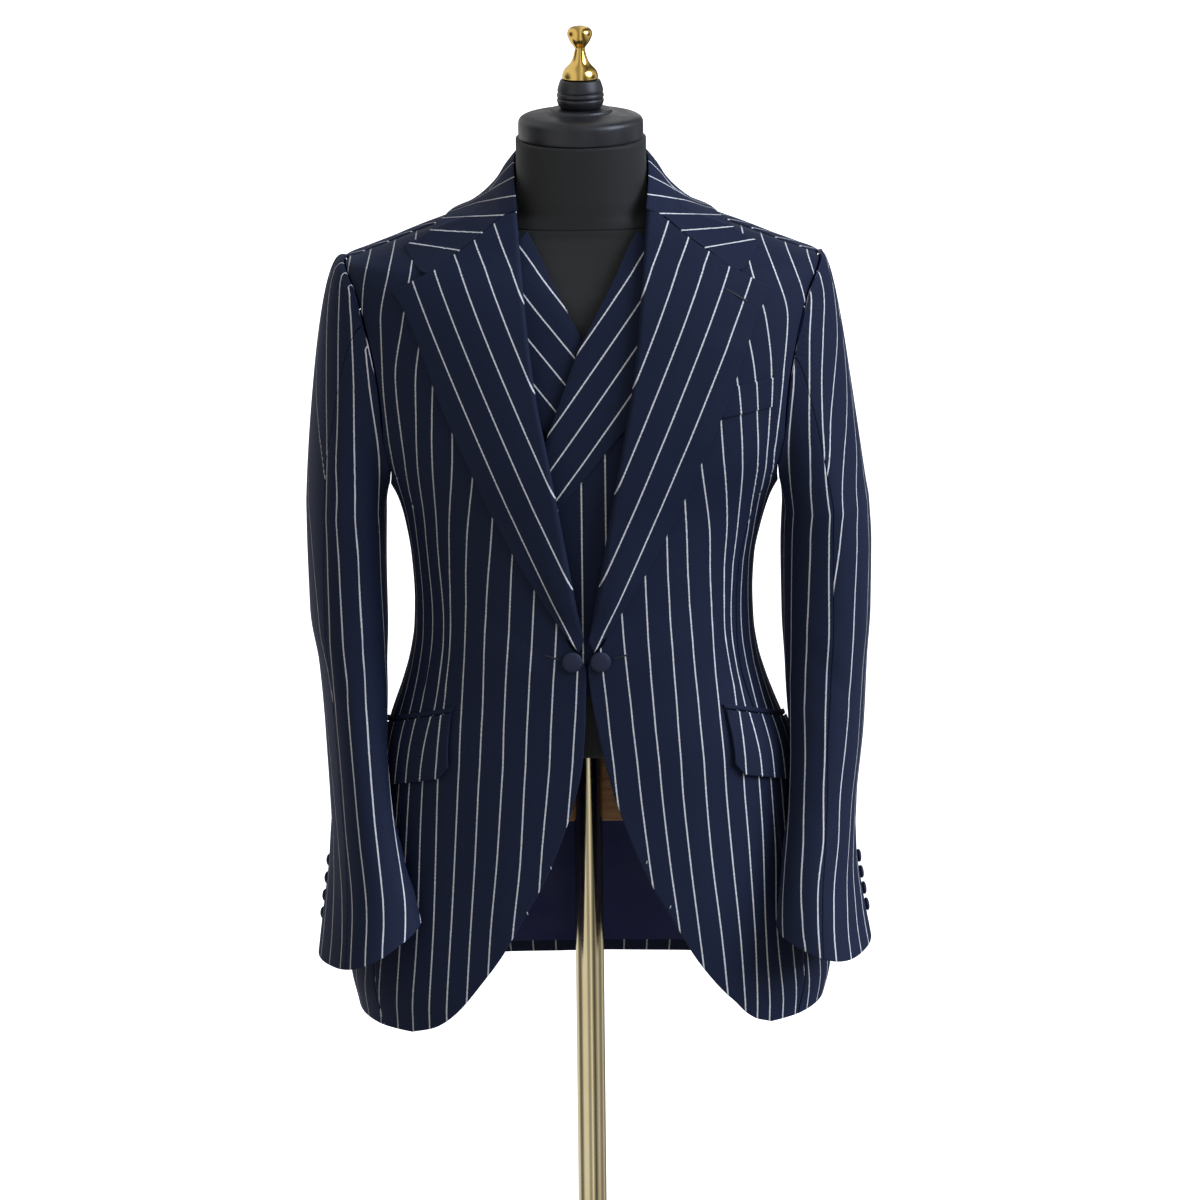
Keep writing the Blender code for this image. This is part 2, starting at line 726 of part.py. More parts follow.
def waistcoat_front_grid(side, rows=15, columns=8):
    table = rowwise(WAISTCOAT_FRONT, rows)
    start = side * angle_of(side * table[:, 0], table[:, 1])
    start[-1] = 90 - SHOULDER_TURN
    t = np.linspace(0, 1, columns)[None, :]
    angle = start[:, None] * (1 - t) + (table[:, 2:3] - 0.15) * t
    height = table[:, 1:2] * (1 - t) + table[:, 3:4] * t
    near = on_body(angle, height)[..., 0]
    depth = WAISTCOAT_SIDE + (WAISTCOAT_OVER - WAISTCOAT_SIDE) * spread(-150, -115, -near)
    if side < 0:
        wrapped = spread(-100, -45, -near) * spread(-1465, -1395, -height)
        depth = depth + (WAISTCOAT_UNDER - WAISTCOAT_OVER) * wrapped
    return moved_out(side * angle, height, -depth)


def waistcoat_lapel_grid(side, rows=11, columns=5):
    table = rowwise(WAISTCOAT_LAPEL[0 if side > 0 else 2 :], rows)
    t = np.linspace(0, 1, columns)[None, :]
    x = table[:, 0:1] * (1 - t) + table[:, 2:3] * t
    height = table[:, 1:2] * (1 - t) + table[:, 3:4] * t
    depth = WAISTCOAT_OVER - WAISTCOAT_LAPEL_LIFT
    if side < 0:
        wrapped = spread(-100, -45, -x) * spread(-1450, -1380, -height)
        depth = depth + (WAISTCOAT_UNDER - WAISTCOAT_LAPEL_UNDER - depth) * wrapped
    return on_front(side * x, height, -depth + 0 * x)


def waistcoat_back_grid(side, rows=14, columns=7):
    table = rowwise(WAISTCOAT_BACK, rows)
    t = np.linspace(0, 1, columns)[None, :]
    angle = back_middle(table)[:, None] * (1 - t) + (table[:, 2:3] + 0.15) * t
    height = table[:, 1:2] * (1 - t) + table[:, 3:4] * t
    angle[-1] = 90 + SHOULDER_TURN
    return moved_out(side * angle, height, -WAISTCOAT_SIDE + 0 * angle)


def button(name, radius, thick, at, facing, finish, group):
    """A round button covered with the suit cloth, its underside at this point."""
    rim = radius - 0.5
    edge = ((rim, 0), (radius, 0.35 * thick), (rim, 0.68 * thick), (0.6 * radius, thick))
    profile = ((0, 0), *edge, (0, thick))
    turn = Vector(facing).to_track_quat("Z", "Y").to_matrix().to_4x4()
    return turned(name, profile, 8, finish, group, Matrix.Translation(Vector(at) * MM) @ turn)


def build_form(group, black, turned_black, brass, wood, iron):
    heights = [row[0] for row in FORM]
    levels = np.unique(np.concatenate([heights, np.linspace(heights[0], 1500, 8)]))
    angle = np.linspace(0, 360, 25)[:-1]
    rings = on_body(angle[None, :], levels[:, None], FORM)
    count = len(angle)
    faces = []
    for r in range(len(levels) - 1):
        for c in range(count):
            d = (c + 1) % count
            faces.append((r * count + c, r * count + d, (r + 1) * count + d, (r + 1) * count + c))
    faces.append(tuple(range(count))[::-1])
    faces.append(tuple(range((len(levels) - 1) * count, len(levels) * count)))
    new_object("form_torso", rings.reshape(-1, 3), faces, black, group)
    turned("neck_cap", NECK_CAP, 32, turned_black, group)
    turned("finial_block", FINIAL_BLOCK, 24, turned_black, group)
    turned("brass_finial", FINIAL, 24, brass, group)
    foot, top = POLE_HEIGHTS
    pole = ((0, foot), (POLE_RADIUS, foot), (POLE_RADIUS, top), (0, top))
    turned("stand_pole", pole, 28, brass, group)
    box("mounting_board", *BOARD, 2.0, wood, group)
    turned("stand_base", BASE, 44, iron, group)


def build_jacket(group, cloth, lining):
    for side, word in ((-1, "left"), (1, "right")):
        flip = side < 0
        sheet(f"front_{word}", front_grid(side), CLOTH, cloth, group, flip)
        sheet(f"side_{word}", side_grid(side), CLOTH, cloth, group, flip)
        sheet(f"back_{word}", back_grid(side), CLOTH, cloth, group, not flip)
        sheet(f"lapel_{word}", lapel_grid(side), FACING, cloth, group, flip)
        top, under = sleeve_grid(side, "top", 9), sleeve_grid(side, "under", 11)
        sheet(f"top_sleeve_{word}", top, FACING, cloth, group, flip)
        sheet(f"under_sleeve_{word}", under, FACING, cloth, group, flip)
        start = FLAP_START[word]
        sheet(f"flap_{word}", flap_grid(side, start), 2.2, cloth, group, flip)
        sheet(f"jet_{word}", jet_grid(side, start), 1.5, cloth, group, flip)
        at = on_front(np.array(side * 13.0), np.array(1089.0), np.array(0.35))
        button(f"front_button_{word}", 9.6, 4.4, at, (0, -1, 0), cloth, group)
        for i, along in enumerate(CUFF_BUTTONS):
            share = CUFF_BUTTON_SHARE[word]
            here = sleeve_point(side, share, along)
            round_by = sleeve_point(side, share + 0.01, along) - here
            up_by = sleeve_point(side, share, along - 0.01) - here
            out = -side * np.cross(round_by, up_by)
            out = out / np.linalg.norm(out)
            button(f"cuff_button_{word}_{i + 1}", 6.2, 3.6, here + out * 0.45, out, cloth, group)
    sheet("collar", collar_grid(), 2.2, cloth, group, True)
    sheet("breast_welt", welt_grid(), FACING, cloth, group, False)
    sheet("back_hem_turnup", inside_grid(752, 786, 122, -4.2, 3, 17), 1.5, cloth, group, False)
    sheet("back_lining", inside_grid(763, 1012, 122, -6.4, 5, 17), LINING, lining, group, False)


def build_waistcoat(group, cloth, lining):
    for side, word in ((-1, "left"), (1, "right")):
        flip = side < 0
        sheet(f"waistcoat_front_{word}", waistcoat_front_grid(side), WAISTCOAT_CLOTH, cloth, group, flip)
        sheet(f"waistcoat_lapel_{word}", waistcoat_lapel_grid(side), WAISTCOAT_CLOTH, cloth, group, flip)
        sheet(f"waistcoat_back_{word}", waistcoat_back_grid(side), WAISTCOAT_CLOTH, lining, group, not flip)
    for i, height in enumerate(WAISTCOAT_BUTTONS):
        at = on_front(np.array(-30.0), np.array(float(height)), np.array(0.35 - WAISTCOAT_OVER))
        button(f"waistcoat_button_{i + 1}", 7.0, 3.0, at, (0, -1, 0), cloth, group)


def build():
    group = bpy.data.collections.new("suit_on_dress_form")
    bpy.context.scene.collection.children.link(group)
    cloth = material("suit_cloth", (0.012, 0.018, 0.045), 0.9)
    lining = material("lining", (0.01, 0.012, 0.05), 0.5)
    jersey = material("form_jersey", (0.012, 0.012, 0.013), 0.8)
    black = material("black_turned_wood", (0.02, 0.02, 0.022), 0.4)
    brass = material("brass", (0.75, 0.55, 0.25), 0.25, 1.0)
    wood = material("beech", (0.4, 0.2, 0.07), 0.5)
    iron = material("base_iron", (0.02, 0.02, 0.02), 0.45)
    build_form(group, jersey, black, brass, wood, iron)
    build_jacket(group, cloth, lining)
    build_waistcoat(group, cloth, lining)


clear_scene()
build()
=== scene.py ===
import math

import bpy
import numpy as np
from mathutils import Matrix, Vector


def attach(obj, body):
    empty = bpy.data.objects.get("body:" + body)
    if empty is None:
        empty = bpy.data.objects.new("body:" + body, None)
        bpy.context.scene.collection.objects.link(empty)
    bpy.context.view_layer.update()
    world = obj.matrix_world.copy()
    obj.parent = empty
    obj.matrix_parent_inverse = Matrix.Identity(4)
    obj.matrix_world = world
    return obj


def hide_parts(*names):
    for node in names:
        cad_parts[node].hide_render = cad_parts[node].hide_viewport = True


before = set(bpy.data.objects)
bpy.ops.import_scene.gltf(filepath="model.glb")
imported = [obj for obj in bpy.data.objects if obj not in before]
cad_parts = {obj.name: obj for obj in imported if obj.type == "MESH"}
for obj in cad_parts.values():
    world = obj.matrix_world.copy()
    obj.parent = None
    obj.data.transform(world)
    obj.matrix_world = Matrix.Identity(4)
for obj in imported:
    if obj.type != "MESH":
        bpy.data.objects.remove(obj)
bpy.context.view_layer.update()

# The stand's base: a turned cast-iron disc with a low boss for the pole, painted satin black.
# It is heavy enough to carry the dressed form. Lengths are in millimetres here and below; +Z is
# up, the fronts face -Y and left is -X.
MM = 0.001
BASE = (
    # radius, height
    (0, 0), (178, 0), (184, 1.2), (186, 4), (186, 10), (183, 13.4), (176, 15.4), (120, 19),
    (60, 22.4), (42, 24), (33, 26.4), (27, 31), (25, 36), (23, 39.4), (0, 40),
)


def linear(colour):
    """An sRGB hex colour as linear red, green, blue and alpha."""
    shares = [int(colour[i : i + 2], 16) / 255 for i in (1, 3, 5)]
    return (*(c / 12.92 if c < 0.0405 else ((c + 0.055) / 1.055) ** 2.4 for c in shares), 1.0)


def add(tree, kind, feeds=None, **settings):
    """A shader node of this kind with its settings; feeds gives its inputs values, nodes or sockets.

    Inputs 1 to 4 of a MapRange are the low and high it reads, then the low and high it gives."""
    node = tree.nodes.new("ShaderNode" + kind)
    for name, value in settings.items():
        setattr(node, name, value)
    for socket, feed in (feeds or {}).items():
        if isinstance(feed, bpy.types.Node):
            feed = feed.outputs[0]
        if isinstance(feed, bpy.types.NodeSocket):
            tree.links.new(feed, node.inputs[socket])
        else:
            node.inputs[socket].default_value = feed
    return node


def per(size):
    """How many of a pattern's parts, this many millimetres wide, go into a metre of it."""
    return 1 / (size * MM)


def new_finish(name):
    """An empty finish: its material, its node tree, and where each point of the piece lies."""
    made = bpy.data.materials.new(name)
    made.use_nodes = True
    made.node_tree.nodes.clear()
    place = add(made.node_tree, "TexCoord").outputs["Object"]
    return made, made.node_tree, place


def shade(tree, feeds, bump=None, distance=0.0001):
    """The finish's shader with these inputs, and this height as its relief."""
    shader = add(tree, "BsdfPrincipled", feeds)
    if bump is not None:
        relief = add(tree, "Bump", {"Height": bump, "Distance": distance, "Strength": 1.0})
        tree.links.new(relief.outputs[0], shader.inputs["Normal"])
    add(tree, "OutputMaterial", {"Surface": shader})


def new_piece(name, points, faces, *finishes, slots=None):
    """A smooth piece from points in millimetres."""
    mesh = bpy.data.meshes.new(name)
    mesh.from_pydata((np.asarray(points) * MM).tolist(), [], [tuple(f) for f in faces])
    for finish in finishes:
        mesh.materials.append(finish)
    if slots is not None:
        mesh.polygons.foreach_set("material_index", slots)
    mesh.shade_smooth()
    piece = bpy.data.objects.new(name, mesh)
    bpy.context.scene.collection.objects.link(piece)
    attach(piece, "root")
    return piece


def rounded(profile, times=2):
    """A profile with its corners cut away this many times, which leaves it softly rounded."""
    line = np.array(profile, float)
    for _ in range(times):
        cut = [line[0]]
        for a, b in zip(line, line[1:]):
            cut += [a + (b - a) * 0.2, a + (b - a) * 0.8]
        line = np.array(cut + [line[-1]])
    return line


def turned(name, profile, finish, steps=96, place=None, times=2):
    """A turned piece: its profile of radius and height runs from the axis at the bottom to the top."""
    line = rounded(profile, times)
    line = line[(line[:, 0] > 0.01) | (np.arange(len(line)) % (len(line) - 1) == 0)]
    turns = np.linspace(0, 2 * np.pi, steps, endpoint=False)
    radius, height = line[1:-1, 0:1], line[1:-1, 1:2]
    rings = np.stack([radius * np.cos(turns), radius * np.sin(turns), height + 0 * turns], -1)
    points = np.concatenate([[(0, 0, line[0, 1])], rings.reshape(-1, 3), [(0, 0, line[-1, 1])]])
    count, last = len(line) - 2, len(points) - 1
    faces = []
    for c in range(steps):
        d = (c + 1) % steps
        faces.append((0, 1 + d, 1 + c))
        faces.append((last, last - steps + c, last - steps + d))
        for r in range(count - 1):
            i = 1 + r * steps
            faces.append((i + c, i + d, i + steps + d, i + steps + c))
    if place is not None:
        turn = np.array(place)
        points = points @ turn[:3, :3].T + turn[:3, 3]
    return new_piece(name, points, faces, finish)


# Satin black enamel brushed on cast iron: the sand-cast grain of about 1 mm shows through it.
base_paint, tree, place = new_finish("satin_black_enamel")
grain = add(tree, "TexNoise", {"Vector": place, "Scale": per(1.111), "Detail": 3.0})
wear = add(tree, "TexNoise", {"Vector": place, "Scale": per(40), "Detail": 4.0})
dull = add(tree, "MapRange", {"Value": wear, 1: 0.3, 2: 0.7, 3: 0.38, 4: 0.55})
tone = add(tree, "MixRGB", {"Fac": wear, "Color1": linear("#17181a"), "Color2": linear("#222325")})
shade(tree, {"Base Color": tone, "Roughness": dull}, bump=grain, distance=0.00012)

base = turned("cast_iron_base", BASE, base_paint, 128)
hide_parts("stand_base")

# The pole: a brass-plated steel tube, polished, standing in the base's boss, with a turned
# collar where it goes in. The plating is pale, with faint lines round it from the buffing.
POLE_RADIUS, POLE_HEIGHTS = 13.3, (40.3, 989.7)
plated, tree, place = new_finish("polished_pale_brass_plate")
rings = add(tree, "Mapping", {"Vector": place, "Scale": (per(41.67), per(41.67), per(0.641))})
buffing = add(tree, "TexNoise", {"Vector": rings, "Scale": 1.0, "Detail": 3.0})
cloud = add(tree, "TexNoise", {"Vector": place, "Scale": per(71.43), "Detail": 2.0})
tone = add(tree, "MixRGB", {"Fac": cloud, "Color1": linear("#cdbb8c"), "Color2": linear("#e2d6b2")})
dull = add(tree, "MapRange", {"Value": buffing, 1: 0.3, 2: 0.7, 3: 0.10, 4: 0.19})
shade(tree, {"Base Color": tone, "Metallic": 1.0, "Roughness": dull}, bump=buffing, distance=0.00001)

foot, top = POLE_HEIGHTS
pole = turned(
    "brass_plated_pole",
    ((0, foot), (POLE_RADIUS - 0.2, foot), (POLE_RADIUS, foot + 1), (POLE_RADIUS, foot + 100),
     (POLE_RADIUS, top - 100), (POLE_RADIUS, top - 1), (POLE_RADIUS - 0.2, top), (0, top)),
    plated, 96, times=1,
)
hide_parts("stand_pole")

# The board behind the pole: a beech offcut, planed, with its edges eased, and varnished. It is
# screwed under the form and holds the pole upright.
BOARD = ((-56, 13.7, 904), (56, 33, 989.7))
BOARD_EDGE = 2.4
# Beech under yellowed varnish: growth bands about 6 mm wide along the board, and dark pores.
beech, tree, place = new_finish("varnished_beech")
stretched = add(tree, "Mapping", {"Vector": place, "Scale": (per(111.1), per(6.25), per(6.25))})
growth = add(tree, "TexNoise", {"Vector": stretched, "Scale": 1.0, "Detail": 6.0, "Distortion": 0.6})
flecks = add(tree, "Mapping", {"Vector": place, "Scale": (per(3.333), per(0.6667), per(0.6667))})
pores = add(tree, "TexNoise", {"Vector": flecks, "Scale": 1.0, "Detail": 2.0})
band = add(tree, "MapRange", {"Value": growth, 1: 0.35, 2: 0.65})
ground = add(tree, "MixRGB", {"Fac": band, "Color1": linear("#b67a3e"), "Color2": linear("#dca565")})
dark = add(tree, "MapRange", {"Value": pores, 1: 0.62, 2: 0.72, 3: 0.0, 4: 0.5})
tone = add(tree, "MixRGB", {"Fac": dark, "Color1": ground, "Color2": linear("#4f3214")})
shade(tree, {"Base Color": tone, "Roughness": 0.42}, bump=pores, distance=0.00008)


def tube_faces(rows, columns, clockwise=False):
    """The faces of a closed tube: its two end caps, then the bands between its rings of points."""
    first, last = tuple(range(columns)), tuple(range((rows - 1) * columns, rows * columns))
    faces = [first, last[::-1]] if clockwise else [first[::-1], last]
    for r in range(rows - 1):
        for c in range(columns):
            d = (c + 1) % columns
            a, b, e, f = (r * columns + c, r * columns + d, (r + 1) * columns + d, (r + 1) * columns + c)
            faces.append((a, f, e, b) if clockwise else (a, b, e, f))
    return faces


def planed(name, low, high, edge, finish):
    """A board with rounded edges: rings of a rounded rectangle along its width."""
    (x0, y0, z0), (x1, y1, z1) = low, high
    turns = np.radians(np.concatenate([np.linspace(q, q + 90, 6) for q in (0, 90, 180, 270)]))
    corner_y = np.where(np.cos(turns) > 0, 1, -1) * ((y1 - y0) / 2 - edge)
    corner_z = np.where(np.sin(turns) > 0, 1, -1) * ((z1 - z0) / 2 - edge)
    corner_y[[5, 6, 17, 18]] = corner_y[[4, 7, 16, 19]]
    corner_z[[0, 11, 12, 23]] = corner_z[[1, 10, 13, 22]]
    rings = []
    for x, inset in ((x0, edge), (x0 + 0.3 * edge, 0.3 * edge), (x0 + edge, 0), (x1 - edge, 0),
                     (x1 - 0.3 * edge, 0.3 * edge), (x1, edge)):
        y = (y0 + y1) / 2 + corner_y + (edge - inset) * np.cos(turns)
        z = (z0 + z1) / 2 + corner_z + (edge - inset) * np.sin(turns)
        rings.append(np.stack([x + 0 * y, y, z], -1))
    return new_piece(name, np.concatenate(rings), tube_faces(len(rings), len(turns)), finish)


board = planed("beech_mounting_board", *BOARD, BOARD_EDGE, beech)
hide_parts("mounting_board")

# The dress form: a limbless torso of papier mache with a drawn-on black jersey cover, sewn
# round the root of the neck. Its outline is a table of rounded sections.
FORM = (
    # height, half width, front, back
    (990, 150, 92, 78), (1010, 152, 94, 78), (1060, 147, 97, 74), (1120, 140, 98, 70),
    (1180, 144, 101, 78), (1240, 158, 105, 90), (1300, 176, 105.5, 98), (1350, 186, 101, 101),
    (1395, 190, 93.5, 98), (1420, 190, 86, 92), (1434, 185, 77, 85), (1444, 174, 72, 80),
    (1454, 154, 67, 75), (1464, 124, 63, 69), (1474, 98, 60, 64), (1484, 77, 59.5, 60.5),
    (1493, 64, 59.5, 59.5), (1504, 61, 60, 60), (1516, 60, 60, 60), (1555.7, 60, 60, 60),
)
ROUNDNESS = 2.5
NECK_SEAM = 1480
# The waist of the clothes hangs a little to the left of the pole.
LEAN = ((990, 0), (1024, -1.4), (1070, -2.3), (1170, -2.3), (1210, -1), (1260, 0))


def smooth(table, at, column=1):
    """The table's column at these heights, through its rows with no overshoot."""
    xs = np.array([row[0] for row in table], float)
    ys = np.array([row[column] for row in table], float)
    step = np.diff(xs)
    rise = np.diff(ys) / step
    slope = np.zeros(len(xs))
    slope[0], slope[-1] = rise[0], rise[-1]
    for i in range(1, len(xs) - 1):
        if rise[i - 1] * rise[i] > 0:
            a = 2 * step[i] + step[i - 1]
            b = step[i] + 2 * step[i - 1]
            slope[i] = (a + b) / (a / rise[i - 1] + b / rise[i])
    at = np.clip(np.asarray(at, float), xs[0], xs[-1])
    i = np.clip(np.searchsorted(xs, at) - 1, 0, len(xs) - 2)
    t = (at - xs[i]) / step[i]
    return (
        ys[i] * (1 + 2 * t) * (1 - t) ** 2
        + slope[i] * step[i] * t * (1 - t) ** 2
        + ys[i + 1] * t * t * (3 - 2 * t)
        + slope[i + 1] * step[i] * t * t * (t - 1)
    )


def lean_at(height):
    """How far to the right the outline's middle lies at this height."""
    return np.interp(height, *zip(*LEAN))


def on_body(angle, height, table):
    """Points of the rounded outline: angle 0 is the front middle, 90 the right side, 180 the back."""
    angle, height = np.broadcast_arrays(np.radians(angle), np.asarray(height, float))
    half, front, back = (smooth(table, height, c) for c in (1, 2, 3))
    s, c = np.sin(angle), np.cos(angle)
    power = 2 / ROUNDNESS
    x = lean_at(height) + half * np.sign(s) * np.abs(s) ** power
    y = np.where(c > 0, -front, back) * np.abs(c) ** power
    return np.stack([x, y, height], -1)


def outward(angle, height, table):
    """Unit normals of the outline's surface."""
    round_by = on_body(angle + 0.5, height, table) - on_body(angle - 0.5, height, table)
    up_by = on_body(angle, height + 1.0, table) - on_body(angle, height - 1.0, table)
    normal = np.cross(round_by, up_by)
    return normal / np.linalg.norm(normal, axis=-1, keepdims=True)


# Black cotton jersey: matt, with fine wales about 1 mm apart, which is as close as they show.
jersey, tree, place = new_finish("black_jersey_cover")
wales = add(tree, "Mapping", {"Vector": place, "Scale": (1.0, 1.0, 0.35)})
knit = add(tree, "TexNoise", {"Vector": wales, "Scale": per(1.429), "Detail": 2.0})
soil = add(tree, "TexNoise", {"Vector": place, "Scale": per(111.1), "Detail": 3.0})
tone = add(tree, "MixRGB", {"Fac": soil, "Color1": linear("#0a0b0b"), "Color2": linear("#131515")})
shade(
    tree,
    {"Base Color": tone, "Roughness": 0.72, "Sheen Weight": 0.12, "Sheen Roughness": 0.5},
    bump=knit, distance=0.00012,
)

FORM_FOOT, FORM_NECK, FORM_TOP = 990, 1400, 1555.7
SEAM_DEPTH, SEAM_WIDTH = 0.9, 0.6
UNDER_SHARES = (0.02, 0.5, 0.9, 0.975)  # how the cover closes under the form, ring by ring
UNDER_LIFTS = (0, 0, 0, 1.0, 2.2)  # and how its rim rolls up
levels = np.unique(np.concatenate([
    np.linspace(FORM_FOOT, FORM_NECK, 70), np.linspace(FORM_NECK, FORM_TOP, 90),
    NECK_SEAM + np.linspace(-2, 2, 17),
]))
turns = np.linspace(0, 360, 181)[:-1]
skin = on_body(turns[None, :], levels[:, None], FORM)
groove = -SEAM_DEPTH * np.exp(-(((levels[:, None] - NECK_SEAM) / SEAM_WIDTH) ** 2)) + 0 * turns
skin = skin + outward(turns[None, :], levels[:, None], FORM) * groove[..., None]
skin = np.concatenate([[skin[0] * (share, share, 1) for share in UNDER_SHARES], skin])
skin[: len(UNDER_LIFTS), :, 2] += np.reshape(UNDER_LIFTS, (-1, 1))
torso = new_piece("jersey_covered_torso", skin.reshape(-1, 3), tube_faces(*skin.shape[:2]), jersey)
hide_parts("form_torso")

# The neck cap, the ringed block on it and the knob: two black lacquered turnings and a
# polished brass finial, screwed together down the middle.
NECK_CAP = (
    (0, 1556), (55.5, 1556), (57.5, 1556.4), (57.6, 1559), (57.6, 1570), (57.3, 1572.6), (56, 1575),
    (53, 1577), (48, 1578.4), (40, 1579.5), (33, 1580.2), (30, 1580.7), (29.2, 1581.8),
    (28.6, 1583), (27, 1583.4), (0, 1583.5),
)
FINIAL_BLOCK = (
    (0, 1583.6), (17, 1583.6), (18.6, 1584.2), (20.2, 1586.4), (21.4, 1589.6), (21.8, 1591.6),
    (21.3, 1592.9), (20.3, 1593.5), (21.3, 1594.1), (21.8, 1595.6), (21.4, 1597.6), (20.2, 1598.5),
    (21, 1599.2), (21.2, 1600.6), (20.6, 1603.4), (19.6, 1606.6), (18.6, 1609.4), (17.6, 1610.5),
    (0, 1610.5),
)
FINIAL = (
    (0, 1610.8), (15.4, 1610.8), (16.5, 1611.6), (16.7, 1613.2), (16.3, 1615.8), (15.1, 1618.8),
    (13, 1621.4), (10, 1624.2), (7.8, 1627.4), (6.2, 1631.8), (5.2, 1636), (4.7, 1638.2),
    (5.1, 1640.2), (6.9, 1642.4), (8.8, 1645), (10.4, 1648.2), (11.5, 1651), (11.7, 1653.4),
    (10.9, 1656), (8.6, 1658.4), (5, 1659.7), (0, 1660),
)
# Black lacquer over turned wood: a hard smooth coat with faint rings left by the chisel.
lacquer, tree, place = new_finish("black_lacquered_turning")
rings = add(tree, "Mapping", {"Vector": place, "Scale": (per(50), per(50), per(1.111))})
chisel = add(tree, "TexNoise", {"Vector": rings, "Scale": 1.0, "Detail": 2.0})
rubbed = add(tree, "TexNoise", {"Vector": place, "Scale": per(16.67), "Detail": 4.0})
dull = add(tree, "MapRange", {"Value": rubbed, 1: 0.3, 2: 0.7, 3: 0.34, 4: 0.5})
tone = add(tree, "MixRGB", {"Fac": rubbed, "Color1": linear("#1b1c20"), "Color2": linear("#26272c")})
shade(tree, {"Base Color": tone, "Roughness": dull}, bump=chisel, distance=0.00003)

# Polished and lacquered yellow brass, with cloudy spots where fingers have dulled it.
brass, tree, place = new_finish("polished_lacquered_brass")
touched = add(tree, "TexNoise", {"Vector": place, "Scale": per(22.22), "Detail": 5.0})
dull = add(tree, "MapRange", {"Value": touched, 1: 0.35, 2: 0.7, 3: 0.12, 4: 0.26})
tone = add(tree, "MixRGB", {"Fac": touched, "Color1": linear("#d9ae54"), "Color2": linear("#e8c777")})
shade(tree, {"Base Color": tone, "Metallic": 1.0, "Roughness": dull}, bump=touched, distance=0.00002)

for name, profile, finish, node, record_slot in (
    ("turned_neck_cap", NECK_CAP, lacquer, "neck_cap", "black_turned_wood"),
    ("ringed_finial_block", FINIAL_BLOCK, lacquer, "finial_block", "black_turned_wood"),
    ("polished_brass_finial", FINIAL, brass, "brass_finial", "brass"),
):
    piece = turned(name, profile, finish, 112)
    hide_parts(node)

# The waistcoat: two wrapped fronts of the suit's striped worsted with broad turned-back lapels,
# and a back of black satin. It is sewn at the sides and shoulders and lies under the jacket.
BODY = (
    # height, half width, front, back
    (725, 215, 122, 118), (740, 218, 122, 118), (775, 225, 121, 118), (813, 222, 120, 117),
    (840, 214, 120, 115), (880, 204, 119, 112), (940, 195, 117, 105), (996, 187, 116, 98),
    (1010, 183, 116, 96), (1026, 177, 116, 94), (1045, 170, 116, 92), (1073, 162, 117, 89),
    (1100, 158, 118, 87), (1130, 157, 118, 86), (1165, 159, 120, 91), (1198, 165, 122, 96),
    (1225, 173, 124, 102), (1245, 184, 126, 106), (1270, 201, 127, 110), (1300, 214, 126, 114),
    (1350, 222, 121, 117), (1400, 224, 112, 113), (1430, 224, 101, 105), (1445, 220, 92, 99),
    (1451.5, 205, 87, 95), (1460.3, 182, 82, 91), (1471.3, 155, 77, 86), (1479, 134, 73, 82),
    (1486.3, 113, 69, 78), (1493, 95, 66, 74), (1498, 82, 64, 71), (1502, 74, 62, 69),
    (1508, 70, 61, 68),
)
SEAM_GAP, SEAM_TURN, SHOULDER_TURN = 0.3, 0.27, 0.05
STRIPE = 22.0  # from one chalk line to the next across the cloth
WAISTCOAT_CLOTH = 1.6
WAISTCOAT_SEAM_TURN, WAISTCOAT_FOLD_TUCK = 0.15, 1.2
WAISTCOAT_FIRST_LINE = -3.0
WAISTCOAT_OVER, WAISTCOAT_UNDER, WAISTCOAT_SIDE = 8.2, 15.4, 6.4
WAISTCOAT_LAPEL_LIFT, WAISTCOAT_LAPEL_UNDER = 2.9, 3.5
WAISTCOAT_FRONT = (
    # edge x, edge height, side angle, side height
    (-42, 1052, 90, 1056), (-42, 1110, 90, 1108), (-42, 1170, 90, 1160), (-42, 1212, 90, 1200),
    (-32, 1262, 84, 1228), (-14, 1320, 66, 1256), (6, 1372, 54, 1300), (26, 1414, 48, 1350),
    (44, 1452, 48, 1400), (56, 1478, 58, 1440), (62, 1490, 74, 1462), (70, 1498, 89, 1474),
    (76, 1500.5, 90, 1476),
)
WAISTCOAT_LAPEL = (
    # inner x, inner height, outer x, outer height
    (-54, 1250, -44, 1209), (-40, 1285, -22, 1235), (-22, 1333, 1, 1262), (-5, 1378, 24, 1290),
    (12, 1412, 42, 1311), (28, 1442, 68, 1345), (42, 1469, 90, 1390), (51, 1485, 98, 1432),
)
WAISTCOAT_BACK = (
    # edge angle, edge height, side angle, side height
    (180, 1052, 90, 1056), (180, 1110, 90, 1108), (180, 1170, 90, 1160), (180, 1215, 90, 1200),
    (180, 1262, 96, 1228), (180, 1310, 112, 1256), (180, 1360, 126, 1300), (180, 1410, 131, 1350),
    (180, 1455, 128, 1400), (180, 1485, 116, 1440), (180, 1500, 102, 1462), (140, 1500, 95, 1472),
    (100, 1500, 91, 1475), (90, 1500.5, 90, 1476),
)
WAISTCOAT_BUTTONS, WAISTCOAT_BUTTON_X = (1075, 1120, 1165), -30.0
WAISTCOAT_BUTTON = (7.0, 3.0)  # radius, thickness
# Where the chalk lines run on its lapels: number = a + b * across + c * (height - 1300).
WAISTCOAT_LAPEL_STRIPES = {"left": (2.77, 0.0352, -0.028), "right": (3.37, 0.0395, -0.028)}


def spread(low, high, share):
    """0 below low and 1 above high of this value, softly between them."""
    t = np.clip((share - low) / (high - low), 0, 1)
    return t * t * (3 - 2 * t)


